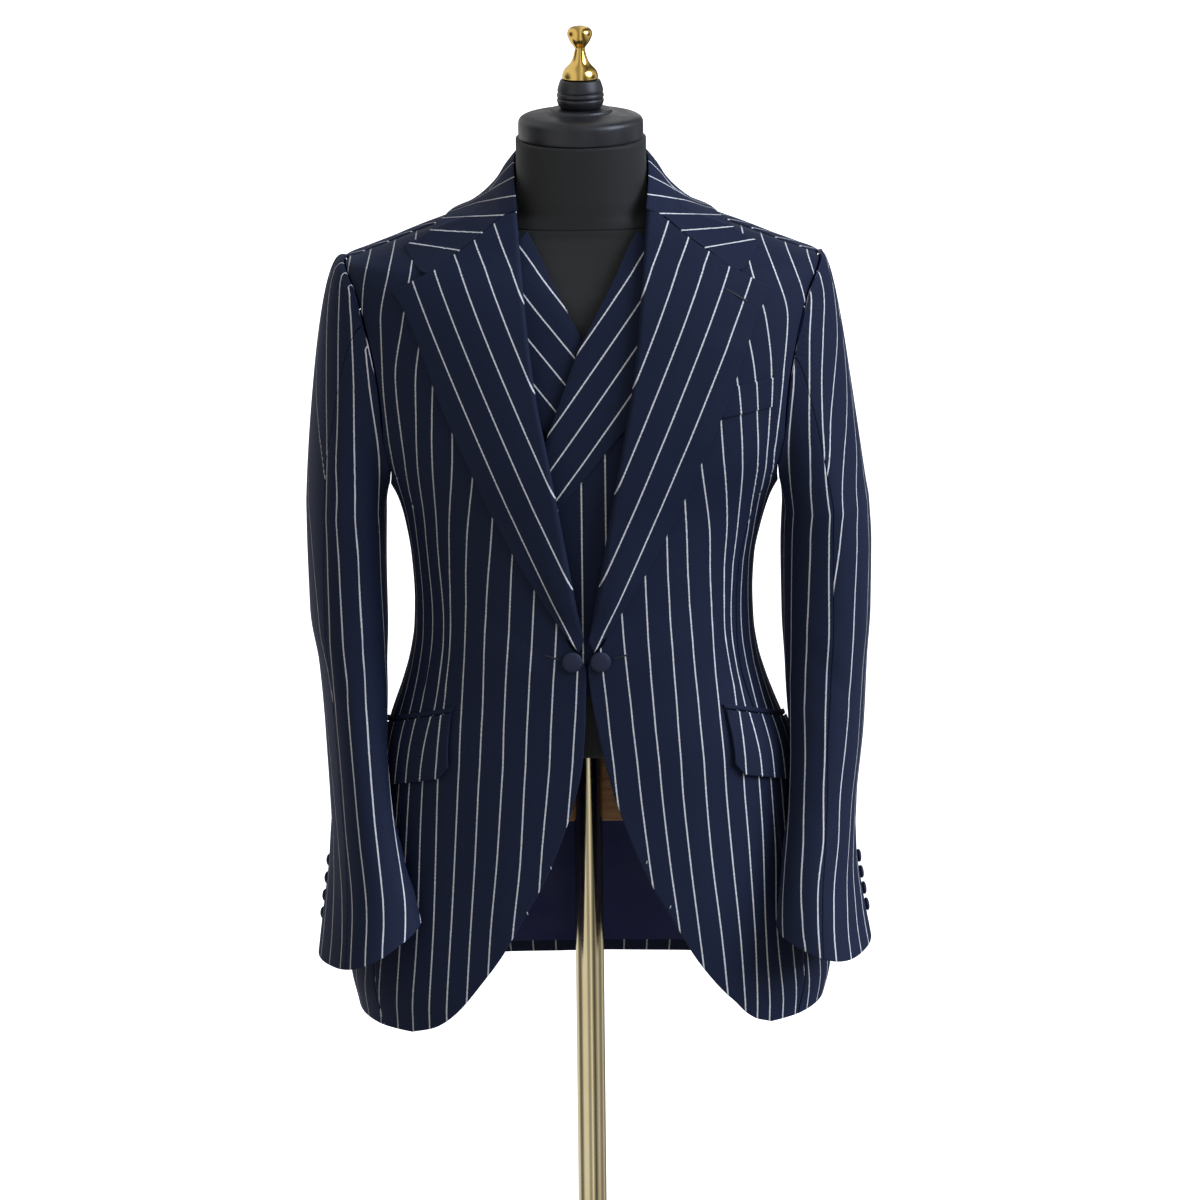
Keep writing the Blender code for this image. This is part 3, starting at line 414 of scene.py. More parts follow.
def through(rows, at):
    """A smooth curve through these rows, at these row numbers."""
    rows = np.asarray(rows, float)
    i = np.clip(np.floor(at).astype(int), 0, len(rows) - 2)
    t = (at - i).reshape(-1, *[1] * (rows.ndim - 1))
    ends = 2 * rows[:1] - rows[1:2], rows, 2 * rows[-1:] - rows[-2:-1]
    a, b, c, d = (np.concatenate(ends)[i + k] for k in range(4))
    return b + t / 2 * (c - a + t * (2 * a - 5 * b + 4 * c - d + t * (3 * (b - c) + d - a)))


def rowwise(table, at):
    """A table of rows at these row numbers, all its columns together."""
    numbered = [(i, *row) for i, row in enumerate(table)]
    return np.array([smooth(numbered, at, c + 1) for c in range(len(table[0]))]).T


def stops(length, step=4.6, last=1.0):
    """Shares along a length this long, a step apart, with closer ones where the edges roll over."""
    count = max(4, int(round(length / step)))
    edge = np.array([0.25, 0.6, 1.1]) / length
    inner = np.linspace(edge[-1] + 0.5 * step / length, 1 - edge[-1] - 0.5 * step / length, count)
    return np.concatenate([[0], edge, inner, 1 - edge[::-1], [1]]) * last


def angle_of(x, height, table=BODY):
    """The angle on the front at which the outline is this far across."""
    half = smooth(table, height, 1)
    across = x - lean_at(height)
    share = np.clip(np.abs(across) / half, 0, 1) ** (ROUNDNESS / 2)
    return np.sign(across) * np.degrees(np.arcsin(share))


def between(table, t):
    """Across a piece: from its table's first two columns at one side to the last two at the other."""
    t = np.reshape(t, (1, -1, 1))
    return np.moveaxis(table[:, None, :2] * (1 - t) + table[:, None, 2:4] * t, -1, 0)


# Soft folds pressed into the hanging cloth, as troughs and ridges between two points.
FOLDS = (
    # from x, height, to x, height, half width, depth, front -1 or back 1
    (-18, 1082, -120, 1150, 9, -0.8, -1), (24, 1080, 118, 1160, 9, -0.7, -1),
    (-24, 1070, -112, 1100, 7, 0.5, -1), (30, 1072, 108, 1112, 7, 0.45, -1),
    (-150, 1340, -168, 1250, 10, -1.3, -1), (158, 1345, 176, 1255, 10, -1.2, -1),
    (-120, 985, -128, 800, 15, -0.8, -1), (-70, 960, -84, 780, 13, 0.6, -1),
    (118, 975, 126, 790, 14, -0.8, -1), (160, 940, 170, 790, 12, 0.7, -1),
    (-176, 950, -190, 790, 12, 0.8, -1), (64, 900, 92, 780, 11, 0.5, -1),
    (-96, 1400, -132, 1250, 15, -1.0, 1), (104, 1395, 136, 1262, 15, -1.0, 1),
    (-60, 1130, -118, 1180, 10, 0.8, 1), (58, 1120, 120, 1176, 10, 0.8, 1),
    (-20, 1110, -96, 1112, 8, -0.6, 1), (24, 1104, 102, 1098, 8, -0.6, 1),
    (-90, 980, -104, 800, 14, 0.9, 1), (96, 970, 108, 800, 14, 0.9, 1),
    (-40, 1462, 40, 1460, 7, -0.8, 1), (-152, 960, -168, 800, 12, -0.7, 1),
    (150, 955, 168, 810, 12, -0.7, 1),
)


def crease(across, up, run, width, depth, ease=(0.15, 0.3)):
    """How high a fold along this run stands, at these distances across and up from its start."""
    before, after = ease
    size = run @ run
    part = (across * run[0] + up * run[1]) / size
    aside = (across * run[1] - up * run[0]) / np.sqrt(size)
    ends = spread(-before, after, part) * spread(-1 - before, after - 1, -part)
    return depth * ends * np.exp(-((aside / width) ** 2))


def hang(point):
    """How far the worn cloth stands out here from its smooth outline."""
    x, y, z = point[..., 0], point[..., 1], point[..., 2]
    around = np.arctan2(x, -y)
    low = spread(-985, -780, -z)
    out = 0.7 * low * np.sin(9 * around + 0.7 + z / 160)
    out = out + 0.22 * np.sin(5 * around + z / 61) + 0.16 * np.sin(z / 23 + 3 * around)
    for x0, z0, x1, z1, width, depth, face in FOLDS:
        run = np.array([x1 - x0, z1 - z0], float)
        out = out + crease(x - x0, z - z0, run, width, depth) * spread(-5, 40, face * y)
    return out * spread(-1462, -1436, -z)


def laid(angle, height, by=0.0):
    """Points of cloth laid on the body's outline, this far out from it."""
    at = on_body(angle, height, BODY)
    out = outward(angle, height, BODY)
    return at + out * (by + hang(at))[..., None]


def on_front(x, height, by=0.0):
    """Points of cloth laid on the front, this far across at this height."""
    return laid(angle_of(x, height), height, by)


def arcs(grid, axis):
    """Distances along the rows or columns of a grid, from its first line."""
    steps = np.linalg.norm(np.diff(grid, axis=axis), axis=-1)
    start = np.zeros_like(steps.take([0], axis))
    return np.concatenate([start, np.cumsum(steps, axis)], axis)


def to_edge(grid):
    """How far each point of a grid is from the nearest edge, along its lines."""
    nearest = []
    for axis in (0, 1):
        run = arcs(grid, axis)
        nearest.append(np.minimum(run, run.take([-1], axis) - run))
    return np.minimum(*nearest)


def line_spacing(grid, number):
    """The distance on the cloth from one line to the next, from how fast the number changes."""
    round_by, up_by = np.gradient(grid, axis=1), np.gradient(grid, axis=0)
    across, up = np.gradient(number, axis=1), np.gradient(number, axis=0)
    e, f, g = ((a * b).sum(-1) for a, b in ((round_by, round_by), (round_by, up_by), (up_by, up_by)))
    steep = (g * across**2 - 2 * f * across * up + e * up**2) / np.maximum(e * g - f * f, 1e-9)
    return np.clip(1 / np.sqrt(np.maximum(steep, 1e-9)), 3, 60)


def cloth(name, grid, thick, flip, finishes, number=None, sunk=True, roll=None):
    """A closed sheet of cloth under a grid of points of its outer face, with rolled edges.

    number counts the chalk lines from one edge of the cut cloth, at each point."""
    round_by, up_by = np.gradient(grid, axis=1), np.gradient(grid, axis=0)
    normal = np.cross(round_by, up_by)
    normal = normal / np.maximum(np.linalg.norm(normal, axis=-1, keepdims=True), 1e-9)
    if flip:
        normal = -normal
    roll = roll or thick / 2
    full = np.sqrt(1 - (1 - np.clip(to_edge(grid) / roll, 0, 1)) ** 2)[..., None]
    middle = grid - normal * (thick / 2 if sunk else 0)
    outer, inner = middle + normal * full * thick / 2, middle - normal * full * thick / 2
    rows, columns = grid.shape[:2]
    front = np.arange(rows * columns).reshape(rows, columns)
    back = front.copy()
    back[1:-1, 1:-1] = rows * columns + np.arange((rows - 2) * (columns - 2)).reshape(rows - 2, -1)
    quads = []
    for index, turn in ((front, flip), (back, not flip)):
        quad = np.stack([index[:-1, :-1], index[:-1, 1:], index[1:, 1:], index[1:, :-1]], -1)
        quads.append(quad.reshape(-1, 4)[:, :: -1 if turn else 1])
    points = np.concatenate([outer.reshape(-1, 3), inner[1:-1, 1:-1].reshape(-1, 3)])
    slots = np.repeat([0, len(finishes) - 1], (rows - 1) * (columns - 1))
    made = new_piece(name, points, np.concatenate(quads).tolist(), *finishes, slots=slots)
    if number is not None:
        number = number + 0 * grid[..., 0]
        cut = np.stack([number, arcs(grid, 0), line_spacing(grid, number)], -1)
        cut = np.concatenate([cut.reshape(-1, 3), cut[1:-1, 1:-1].reshape(-1, 3)])
        made.data.attributes.new("cut", "FLOAT_VECTOR", "POINT").data.foreach_set("vector", cut.ravel())
    return made


CHALK_HALF, CHALK_EDGE = 0.62, 0.3
HAIRS, SLUBS = 0.55, 0.21  # how many of each there are in a millimetre along the line


def chalk_line(tree, cut):
    """How strongly the chalk line shows: 1 on it, fading over its hairy edge to 0."""
    part = add(tree, "SeparateXYZ", {0: cut})
    number, along, spacing = part.outputs
    shifted = add(tree, "Math", {0: number, 1: 0.5}, operation="ADD")
    share = add(tree, "Math", {0: shifted}, operation="FRACT")
    centred = add(tree, "Math", {0: share, 1: 0.5}, operation="SUBTRACT")
    off = add(tree, "Math", {0: centred}, operation="ABSOLUTE")
    away = add(tree, "Math", {0: off, 1: spacing}, operation="MULTIPLY")
    hairs = add(tree, "Math", {0: along, 1: HAIRS}, operation="MULTIPLY")
    yarns = add(tree, "CombineXYZ", {0: number, 1: hairs})
    hairy = add(tree, "TexNoise", {"Vector": yarns, "Scale": 1.0, "Detail": 2.0, "Roughness": 0.7})
    wander = add(tree, "MapRange", {"Value": hairy, 1: 0.25, 2: 0.75, 3: -CHALK_EDGE, 4: CHALK_EDGE})
    edge = add(tree, "Math", {0: away, 1: wander}, operation="ADD")
    line = add(
        tree, "MapRange",
        {"Value": edge, 1: CHALK_HALF - CHALK_EDGE, 2: CHALK_HALF + CHALK_EDGE, 3: 1.0, 4: 0.0},
        interpolation_type="SMOOTHSTEP",
    )
    slubs = add(tree, "Math", {0: along, 1: SLUBS}, operation="MULTIPLY")
    thicker = add(tree, "CombineXYZ", {0: number, 1: slubs})
    strong = add(tree, "TexNoise", {"Vector": thicker, "Scale": 1.0, "Detail": 3.0, "Roughness": 0.8})
    strength = add(tree, "MapRange", {"Value": strong, 1: 0.3, 2: 0.62, 3: 0.78, 4: 1.0})
    return add(tree, "Math", {0: line, 1: strength}, operation="MULTIPLY"), number, along


TWILL_RIB = 1.7


def worsted(name, ground, lit, line):
    """Navy worsted with chalk lines: a smooth clear-cut twill of fine combed wool.

    The real twill ribs are about 0.8 mm apart; they are drawn 1.7 mm apart, the finest that show."""
    finish, tree, place = new_finish(name)
    cut = add(tree, "Attribute", attribute_name="cut").outputs["Vector"]
    chalk, number, along = chalk_line(tree, cut)
    across = add(tree, "Math", {0: number, 1: STRIPE}, operation="MULTIPLY")
    slanted = add(tree, "Math", {0: across, 1: along}, operation="ADD")
    phase = add(tree, "Math", {0: slanted, 1: 2 * math.pi / TWILL_RIB}, operation="MULTIPLY")
    ribs = add(tree, "Math", {0: phase}, operation="SINE")
    wool = add(tree, "TexNoise", {"Vector": place, "Scale": per(1.613), "Detail": 3.0})
    bolt = add(tree, "TexNoise", {"Vector": place, "Scale": per(200), "Detail": 3.0})
    rib = add(tree, "MapRange", {"Value": ribs, 1: -1.0, 2: 1.0, 3: 0.0, 4: 0.35})
    mix = add(tree, "Math", {0: rib, 1: wool}, operation="ADD")
    tone = add(tree, "MapRange", {"Value": mix, 1: 0.35, 2: 1.0})
    cool = add(tree, "MixRGB", {"Fac": tone, "Color1": linear(ground), "Color2": linear(lit)})
    patch = add(tree, "MapRange", {"Value": bolt, 1: 0.3, 2: 0.7, 3: 0.0, 4: 0.25})
    base_tone = add(tree, "MixRGB", {"Fac": patch, "Color1": cool, "Color2": linear(ground)})
    colour = add(tree, "MixRGB", {"Fac": chalk, "Color1": base_tone, "Color2": linear(line)})
    raised = add(tree, "Math", {0: chalk, 1: 0.9}, operation="MULTIPLY")
    nap = add(tree, "Math", {0: wool, 1: raised}, operation="ADD")
    height = add(tree, "Math", {0: nap, 1: rib}, operation="ADD")
    shade(
        tree,
        {"Base Color": colour, "Roughness": 0.78, "Sheen Weight": 0.08, "Sheen Roughness": 0.45,
         "Sheen Tint": linear("#8494c8"), "Specular IOR Level": 0.3},
        bump=height, distance=0.00007,
    )
    return finish


suiting = worsted("navy_chalk_stripe_worsted", "#0c162e", "#13203e", "#ffffff")


def satin(name, dark, light):
    """Woven lining satin: long floats that catch a broad soft light, with a fine crosswise rib."""
    finish, tree, place = new_finish(name)
    floats = add(tree, "Mapping", {"Vector": place, "Scale": (per(3.333), per(3.333), per(0.6667))})
    weft = add(tree, "TexNoise", {"Vector": floats, "Scale": 1.0, "Detail": 3.0})
    creased = add(tree, "TexNoise", {"Vector": place, "Scale": per(38.46), "Detail": 3.0})
    tone = add(tree, "MixRGB", {"Fac": weft, "Color1": linear(dark), "Color2": linear(light)})
    dull = add(tree, "MapRange", {"Value": creased, 1: 0.3, 2: 0.7, 3: 0.34, 4: 0.5})
    deeper = add(tree, "Math", {0: creased, 1: 6.0}, operation="MULTIPLY")
    both = add(tree, "Math", {0: weft, 1: deeper}, operation="ADD")
    shade(
        tree,
        {"Base Color": tone, "Roughness": dull, "Sheen Weight": 0.05, "Specular IOR Level": 0.25},
        bump=both, distance=0.00006,
    )
    return finish


back_satin = satin("black_waistcoat_satin", "#0e0f16", "#191b26")
lining = satin("indigo_lining_satin", "#141a50", "#232b6e")


def waistcoat_front(side):
    """The grid of a front, from its wrapped edge to the side seam, and its chalk lines."""
    table = rowwise(WAISTCOAT_FRONT, stops(450, 6.5, len(WAISTCOAT_FRONT) - 1))
    ridge = table[:, 0] > WAISTCOAT_FRONT[-1][0] - 0.1
    table[:, 0] = side * angle_of(side * table[:, 0], table[:, 1])
    table[ridge, 0] = 90 - SHOULDER_TURN
    table[:, 2] -= WAISTCOAT_SEAM_TURN
    angle, height = between(table, stops(190, 6.5))
    near = on_body(angle, height, BODY)[..., 0]
    depth = WAISTCOAT_SIDE + (WAISTCOAT_OVER - WAISTCOAT_SIDE) * spread(-150, -115, -near)
    if side < 0:
        wrapped = spread(-100, -45, -near) * spread(-1465, -1395, -height)
        depth = depth + (WAISTCOAT_UNDER - WAISTCOAT_OVER) * wrapped
    grid = laid(side * angle, height, -depth)
    return grid, (grid[..., 0] - WAISTCOAT_FIRST_LINE) / STRIPE


def waistcoat_lapel(side, word):
    """The grid of a lapel, from its fold to its outer edge, and its chalk lines."""
    rows = WAISTCOAT_LAPEL[0 if side > 0 else 2 :]
    table = rowwise(rows, stops(330, 5, len(rows) - 1))
    t = stops(78, 5)[None, :]
    x, height = between(table, t)
    depth = WAISTCOAT_OVER - WAISTCOAT_LAPEL_LIFT
    if side < 0:
        wrapped = spread(-100, -45, -x) * spread(-1450, -1380, -height)
        depth = depth + (WAISTCOAT_UNDER - WAISTCOAT_LAPEL_UNDER - depth) * wrapped
    grid = on_front(side * x, height, -depth - WAISTCOAT_FOLD_TUCK * (1 - spread(0, 0.12, t)))
    start, across, up = WAISTCOAT_LAPEL_STRIPES[word]
    return grid, start + side * across * grid[..., 0] + up * (height - 1300)


def to_back_middle(table):
    """The first column of angles, stopped short of the middle of the back by the seam's gap."""
    gap = (SEAM_GAP / smooth(BODY, table[:, 1], 1)) ** (ROUNDNESS / 2)
    return np.minimum(table[:, 0], 180 - np.degrees(np.arcsin(gap)))


def waistcoat_back(side):
    """The grid of a back, from its middle seam to the side seam."""
    table = rowwise(WAISTCOAT_BACK, stops(450, 8, len(WAISTCOAT_BACK) - 1))
    table[:, 0] = to_back_middle(table)
    table[:, 2] += WAISTCOAT_SEAM_TURN
    angle, height = between(table, stops(170, 8))
    angle[-1] = 90 + SHOULDER_TURN
    return laid(side * angle, height, -WAISTCOAT_SIDE)


SIDES = ((-1, "left"), (1, "right"))
for side, word in SIDES:
    grid, number = waistcoat_front(side)
    front = cloth(
        f"waistcoat_front_{word}_cloth", grid, WAISTCOAT_CLOTH, side < 0, (suiting, back_satin), number,
    )
    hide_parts(f"waistcoat_front_{word}")
    grid, number = waistcoat_lapel(side, word)
    lapel = cloth(f"waistcoat_lapel_{word}_cloth", grid, WAISTCOAT_CLOTH, side < 0, (suiting,), number)
    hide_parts(f"waistcoat_lapel_{word}")
    area = 0.0145 if side < 0 else 0.0175
    grid = waistcoat_back(side)
    back = cloth(f"waistcoat_back_{word}_satin", grid, WAISTCOAT_CLOTH, side > 0, (back_satin,))
    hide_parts(f"waistcoat_back_{word}")


def covered_button(name, radius, thick, at, facing, finish):
    """A domed metal shell covered with the suit's cloth, gathered under at the back."""
    profile = (
        (0, 0), (0.72 * radius, 0), (0.93 * radius, 0.1 * thick), (radius, 0.34 * thick),
        (0.97 * radius, 0.58 * thick), (0.84 * radius, 0.82 * thick), (0.55 * radius, 0.97 * thick),
        (0.2 * radius, thick), (0, thick),
    )
    turn = Vector(facing).to_track_quat("Z", "Y").to_matrix().to_4x4()
    return turned(name, profile, finish, 48, Matrix.Translation(Vector(at)) @ turn)


# Button covers are cut from the plain ground between two chalk lines.
cover, tree, place = new_finish("navy_button_cover")
wool = add(tree, "TexNoise", {"Vector": place, "Scale": per(1.111), "Detail": 3.0})
tone = add(tree, "MixRGB", {"Fac": wool, "Color1": linear("#0c142c"), "Color2": linear("#141e3e")})
shade(
    tree,
    {"Base Color": tone, "Roughness": 0.7, "Sheen Weight": 0.08, "Sheen Tint": linear("#8494c8")},
    bump=wool, distance=0.00012,
)
for i, height in enumerate(WAISTCOAT_BUTTONS):
    at = on_front(np.array(WAISTCOAT_BUTTON_X), np.array(float(height)), 0.35 - WAISTCOAT_OVER)
    button = covered_button(f"waistcoat_button_{i + 1}_covered", *WAISTCOAT_BUTTON, at, (0, -1, 0), cover)
    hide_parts(f"waistcoat_button_{i + 1}")

# The jacket's body: fronts, side panels and backs of the striped worsted over canvas, sewn edge
# to edge and lined with indigo satin. The fronts are cut away below the single link fastening.
CLOTH = 2.0
FOLD_TUCK = 12.5  # the front stops this far short of the lapel's fold
SIDE_HEM = (738, 750)
UNDERARM, UNDERARM_DIP = 1261, 24
FRONT_SEAM = ((730, 60), (1058, 60), (1262, 62.9))  # the side panel's two seams: height, angle
BACK_SEAM = ((730, 118), (1208, 118), (1262, 117))
VENT_ROWS = (0.19, 0.195, 0.2, 0.21, 0.225, 0.2381)  # closer rows at the vent's top, as shares
LEFT_DROP = 6.0
VENT_LIFT = 5.2
FRONT_LEFT = (
    # edge x, edge height, side angle, side height
    (166, 737, 60, 738), (140, 746, 60, 768), (112, 769, 60, 806), (84, 804, 60, 850),
    (62, 842, 60, 895), (38, 886, 60, 940), (19, 934, 60, 982), (7, 976, 60, 1022),
    (2.5, 1010, 60, 1058), (0.6, 1050, 60.5, 1094), (0.6, 1090, 61, 1130), (7, 1120, 61.5, 1166),
    (18, 1180, 62, 1208), (31, 1250, 62.9, 1262), (41, 1300, 56.7, 1298), (49, 1350, 55, 1334),
    (54, 1400, 57.2, 1369), (58, 1442, 60.8, 1398), (61, 1470, 67, 1427), (62, 1484, 76, 1441),
    (66, 1493, 84, 1446), (78, 1497, 90, 1448),
)
# The right front's cutaway leans further open than the left one's.
RIGHT_OPEN = (
    # height, further across
    (735, 0), (745, 8), (760, 14), (830, 15), (930, 14), (980, 13), (1020, 8), (1050, 3.5), (1088, 0),
)
BACK_EDGE = (
    # edge angle, edge height, side angle, side height
    (180, 751, 109, 751), (180, 800, 109, 797), (180, 850, 109, 846), (180, 905, 109, 895),
    (180, 955, 109, 950), (180, 960, 118, 953), (180, 995, 118, 982), (180, 1030, 118, 1022),
    (180, 1062, 118, 1058), (180, 1098, 118, 1094), (180, 1134, 118, 1130), (180, 1170, 118, 1166),
    (180, 1212, 118, 1208), (180, 1266, 117, 1262), (180, 1320, 121, 1308), (180, 1380, 121, 1350),
    (180, 1440, 117, 1398), (180, 1485, 110, 1427), (180, 1503, 101, 1441), (140, 1502, 96, 1445),
    (110, 1500, 92, 1447), (90, 1498, 90, 1448),
)
# The chalk lines of the fronts and side panels, charted: a row for each line from the
# middle outwards, with its distance round the body in millimetres at each of these heights.
CHART_HEIGHTS = (755, 830, 900, 980, 1050, 1120, 1200, 1280, 1350, 1400, 1440, 1475)
FRONT_LINES = {
    # hem, thigh, hip, pocket, pocket's top, waist, ribs, chest, armhole, above it, shoulder, its top
    "left": (
        (30, 26, 22, 15, 8, 4, 2, 2, 4, -2, -14, -13),
        (54, 49, 44, 36, 30, 25, 22, 22, 24, 17, 6, 6),
        (77, 71, 63, 58, 52, 47, 43, 42, 44, 35, 26, 26),
        (97, 92, 85, 79, 74, 69, 65, 62, 62, 52, 44, 44),
        (116, 111, 106, 101, 95, 92, 86, 82, 82, 71, 62, 60),
        (135, 130, 126, 121, 116, 112, 110, 102, 101, 90, 80, 78),
        (152, 147, 145, 142, 135, 129, 129, 122, 120, 109, 99, 97),
        (169, 163, 162, 158, 144, 137, 143, 142, 139, 129, 119, 116),
        (186, 180, 178, 174, 162, 153, 159, 158, 156, 148, 140, 136),
        (208, 199, 193, 188, 178, 171, 176, 173, 177, 168, 160, 153),
        (230, 219, 213, 207, 198, 192, 195, 188, 191, 191, 182, 172),
        (250, 239, 233, 227, 218, 213, 214, 206, 212, 213, 207, 192),
    ),
    "right": (
        (50, 42, 34, 25, 20, 14, 10, 8, 9, 0, -14, -13),
        (72, 65, 56, 47, 42, 36, 32, 30, 31, 20, 10, 10),
        (92, 84, 75, 67, 63, 59, 56, 52, 51, 38, 30, 29),
        (111, 102, 94, 87, 85, 81, 77, 72, 70, 55, 49, 47),
        (130, 123, 115, 109, 106, 101, 96, 90, 87, 73, 67, 64),
        (146, 141, 135, 129, 127, 124, 120, 107, 104, 91, 84, 81),
        (158, 156, 153, 148, 147, 139, 139, 129, 123, 110, 101, 98),
        (171, 167, 168, 165, 156, 148, 152, 148, 142, 130, 119, 115),
        (186, 179, 183, 180, 173, 165, 170, 165, 160, 150, 138, 131),
        (202, 196, 198, 196, 189, 184, 182, 176, 177, 171, 158, 148),
        (220, 214, 216, 214, 206, 202, 200, 185, 190, 194, 181, 163),
        (240, 234, 235, 233, 224, 220, 219, 205, 213, 217, 203, 181),
    ),
}
NIP = ((1000, 0), (1120, 9), (1240, 3), (1340, 0), (1440, 5), (1500, 9))  # taken in at the back seam

LEVELS, TURNS = np.arange(720.0, 1512.0, 6.0), np.linspace(0, 180, 361)
CHART_TOP = 1430.0  # above it the lines go straight up over the shoulder
ROUND = arcs(on_body(TURNS[None, :], LEVELS[:, None], BODY), 1)


def rank(values, at):
    """Where this lies among evenly spaced values, counted from the first of them."""
    return (at - values[0]) / (values[1] - values[0])


def looked_up(table, row, column):
    """The values of a table of numbers between its rows and columns."""
    row = np.clip(row, 0, table.shape[0] - 1.001)
    column = np.clip(column, 0, table.shape[1] - 1.001)
    r, c = row.astype(int), column.astype(int)
    u, v = row - r, column - c
    low = table[r, c] * (1 - v) + table[r, c + 1] * v
    return low * (1 - u) + (table[r + 1, c] * (1 - v) + table[r + 1, c + 1] * v) * u


def girth(angle, height):
    """How far round the body from its front middle this angle is, at this height."""
    return looked_up(ROUND, rank(LEVELS, height), rank(TURNS, np.abs(angle)))


def charted(heights, rows, height, across):
    """Which chalk line of a chart runs here, with parts of one between them."""
    lines = np.stack([smooth(list(zip(heights, row)), height) for row in rows], -1)
    i = np.clip((lines <= across[..., None]).sum(-1) - 1, 0, lines.shape[-1] - 2)[..., None]
    low, high = (np.take_along_axis(lines, at, -1)[..., 0] for at in (i, i + 1))
    return i[..., 0] + (across - low) / (high - low)


def front_number(word, angle, height):
    """Which chalk line of the fronts and side panels runs here."""
    low = np.minimum(height, CHART_TOP)
    x = np.abs(on_body(angle, height, BODY)[..., 0])
    over = np.where(height > CHART_TOP, np.abs(angle_of(x, low)), np.abs(angle))
    return charted(CHART_HEIGHTS, FRONT_LINES[word], height, girth(over, low))


def hem_drop(side, height):
    """How much lower the left front hangs, near its hem."""
    return (LEFT_DROP if side < 0 else 0) * spread(-790, -740, -height)


def front_panel(side, word):
    """Where a front lies, from its edge to the side panel, how far out, and its chalk lines."""
    table = through(FRONT_LEFT, stops(800, 5.2, len(FRONT_LEFT) - 1))
    tuck = spread(1080, 1110, table[:, 1]) * spread(-1499, -1490, -table[:, 1])
    edge = table[:, 0] + SEAM_GAP + FOLD_TUCK * tuck
    if side > 0:
        edge = edge + np.interp(table[:, 1], *zip(*RIGHT_OPEN))
    table[:, 0] = side * angle_of(side * edge, table[:, 1])
    below = table[:, 3] < FRONT_SEAM[-1][0]
    table[below, 2] = np.interp(table[below, 3], *zip(*FRONT_SEAM))
    table[:, 2] -= SEAM_TURN
    table[:, (1, 3)] -= hem_drop(side, table[:, (1, 3)])
    angle, height = between(table, stops(175, 4.0))
    angle[-1] = 90 - SHOULDER_TURN
    return side * angle, height, 0.0, front_number(word, side * angle, height)


def side_panel(side, word):
    """Where a side panel lies under the arm, how far out, and its chalk lines."""
    t = stops(150, 5.0)
    low = SIDE_HEM[0] * (1 - t) + SIDE_HEM[1] * t
    low = low - hem_drop(side, low)
    high = UNDERARM - UNDERARM_DIP * np.sin(np.pi * t) ** 0.8
    share = stops(520, 5.5)[:, None]
    height = low + share * (high - low)
    first = np.interp(height[:, 0], *zip(*FRONT_SEAM)) + SEAM_TURN
    last = np.interp(height[:, -1], *zip(*BACK_SEAM)) - SEAM_TURN
    angle = first[:, None] * (1 - t) + last[:, None] * t
    return side * angle, height, 0.0, front_number(word, side * angle, height)


def back_panel(side, word):
    """Where a back lies, from its middle seam to the side panel, how far out, and its chalk lines."""
    at = np.unique(np.concatenate([stops(770, 6.0), VENT_ROWS]))
    table = rowwise(BACK_EDGE, at * (len(BACK_EDGE) - 1))
    table[:, 0] = to_back_middle(table)
    table[:, 2] += SEAM_TURN
    angle, height = between(table, 1 - (1 - stops(200, 4.6)) ** 1.4)
    angle[-1] = 90 + SHOULDER_TURN
    # At the vent the back stands off the side panel that it laps over.
    lift = VENT_LIFT * spread(-132, -119, -angle) * spread(-1040, -985, -height)
    from_seam = girth(np.full_like(height, 180), height) - girth(angle, height)
    return side * angle, height, lift, 0.5 + (from_seam + smooth(NIP, height)) / STRIPE


BODY_PANELS = (
    # piece, how it lies, cut width and length, the cut's own area
    ("front", front_panel, (0.24, 0.78), 0.118),
    ("side", side_panel, (0.19, 0.53), 0.076),
    ("back", back_panel, (0.26, 0.78), 0.15),
)
for side, word in SIDES:
    for part, panel, flat, area in BODY_PANELS:
        angle, height, lift, number = panel(side, word)
        flip = side > 0 if part == "back" else side < 0
        grid = laid(angle, height, lift)
        piece = cloth(f"{part}_{word}_cloth", grid, CLOTH, flip, (suiting, lining), number, roll=0.8)
        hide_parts(f"{part}_{word}")

# The lapels: each front's facing turned back over a soft roll and pressed only at its edge. The
# cloth comes up from the front's own edge, round the fold, and lies over the chest to a broad tip.
FACING = 1.8
LAPEL = (
    # fold x, fold height, outer x, outer height
    (2.5, 1108, 7, 1098), (7, 1129, 22, 1118), (13, 1162, 43, 1151), (19, 1198, 64, 1187),
    (26, 1238, 86, 1230), (35, 1288, 110, 1282), (44, 1336, 132, 1333), (50, 1384, 150, 1383),
    (55, 1436, 163, 1413), (60, 1499, 174, 1429),
)
# Its lines, counted in from the outer edge, with up = height - 1300:
# number = a - b * across + c * up + d * (up / 100) ** 2.
LAPEL_STRIPES = {"left": (4.17, 0.0428, 0.0181, -0.040), "right": (4.12, 0.0425, 0.0180, -0.039)}


def gorge_sag(share):
    """How far the gorge dips below a straight line between the fold and the lapel's tip."""
    return 22 * share * (1 - share)


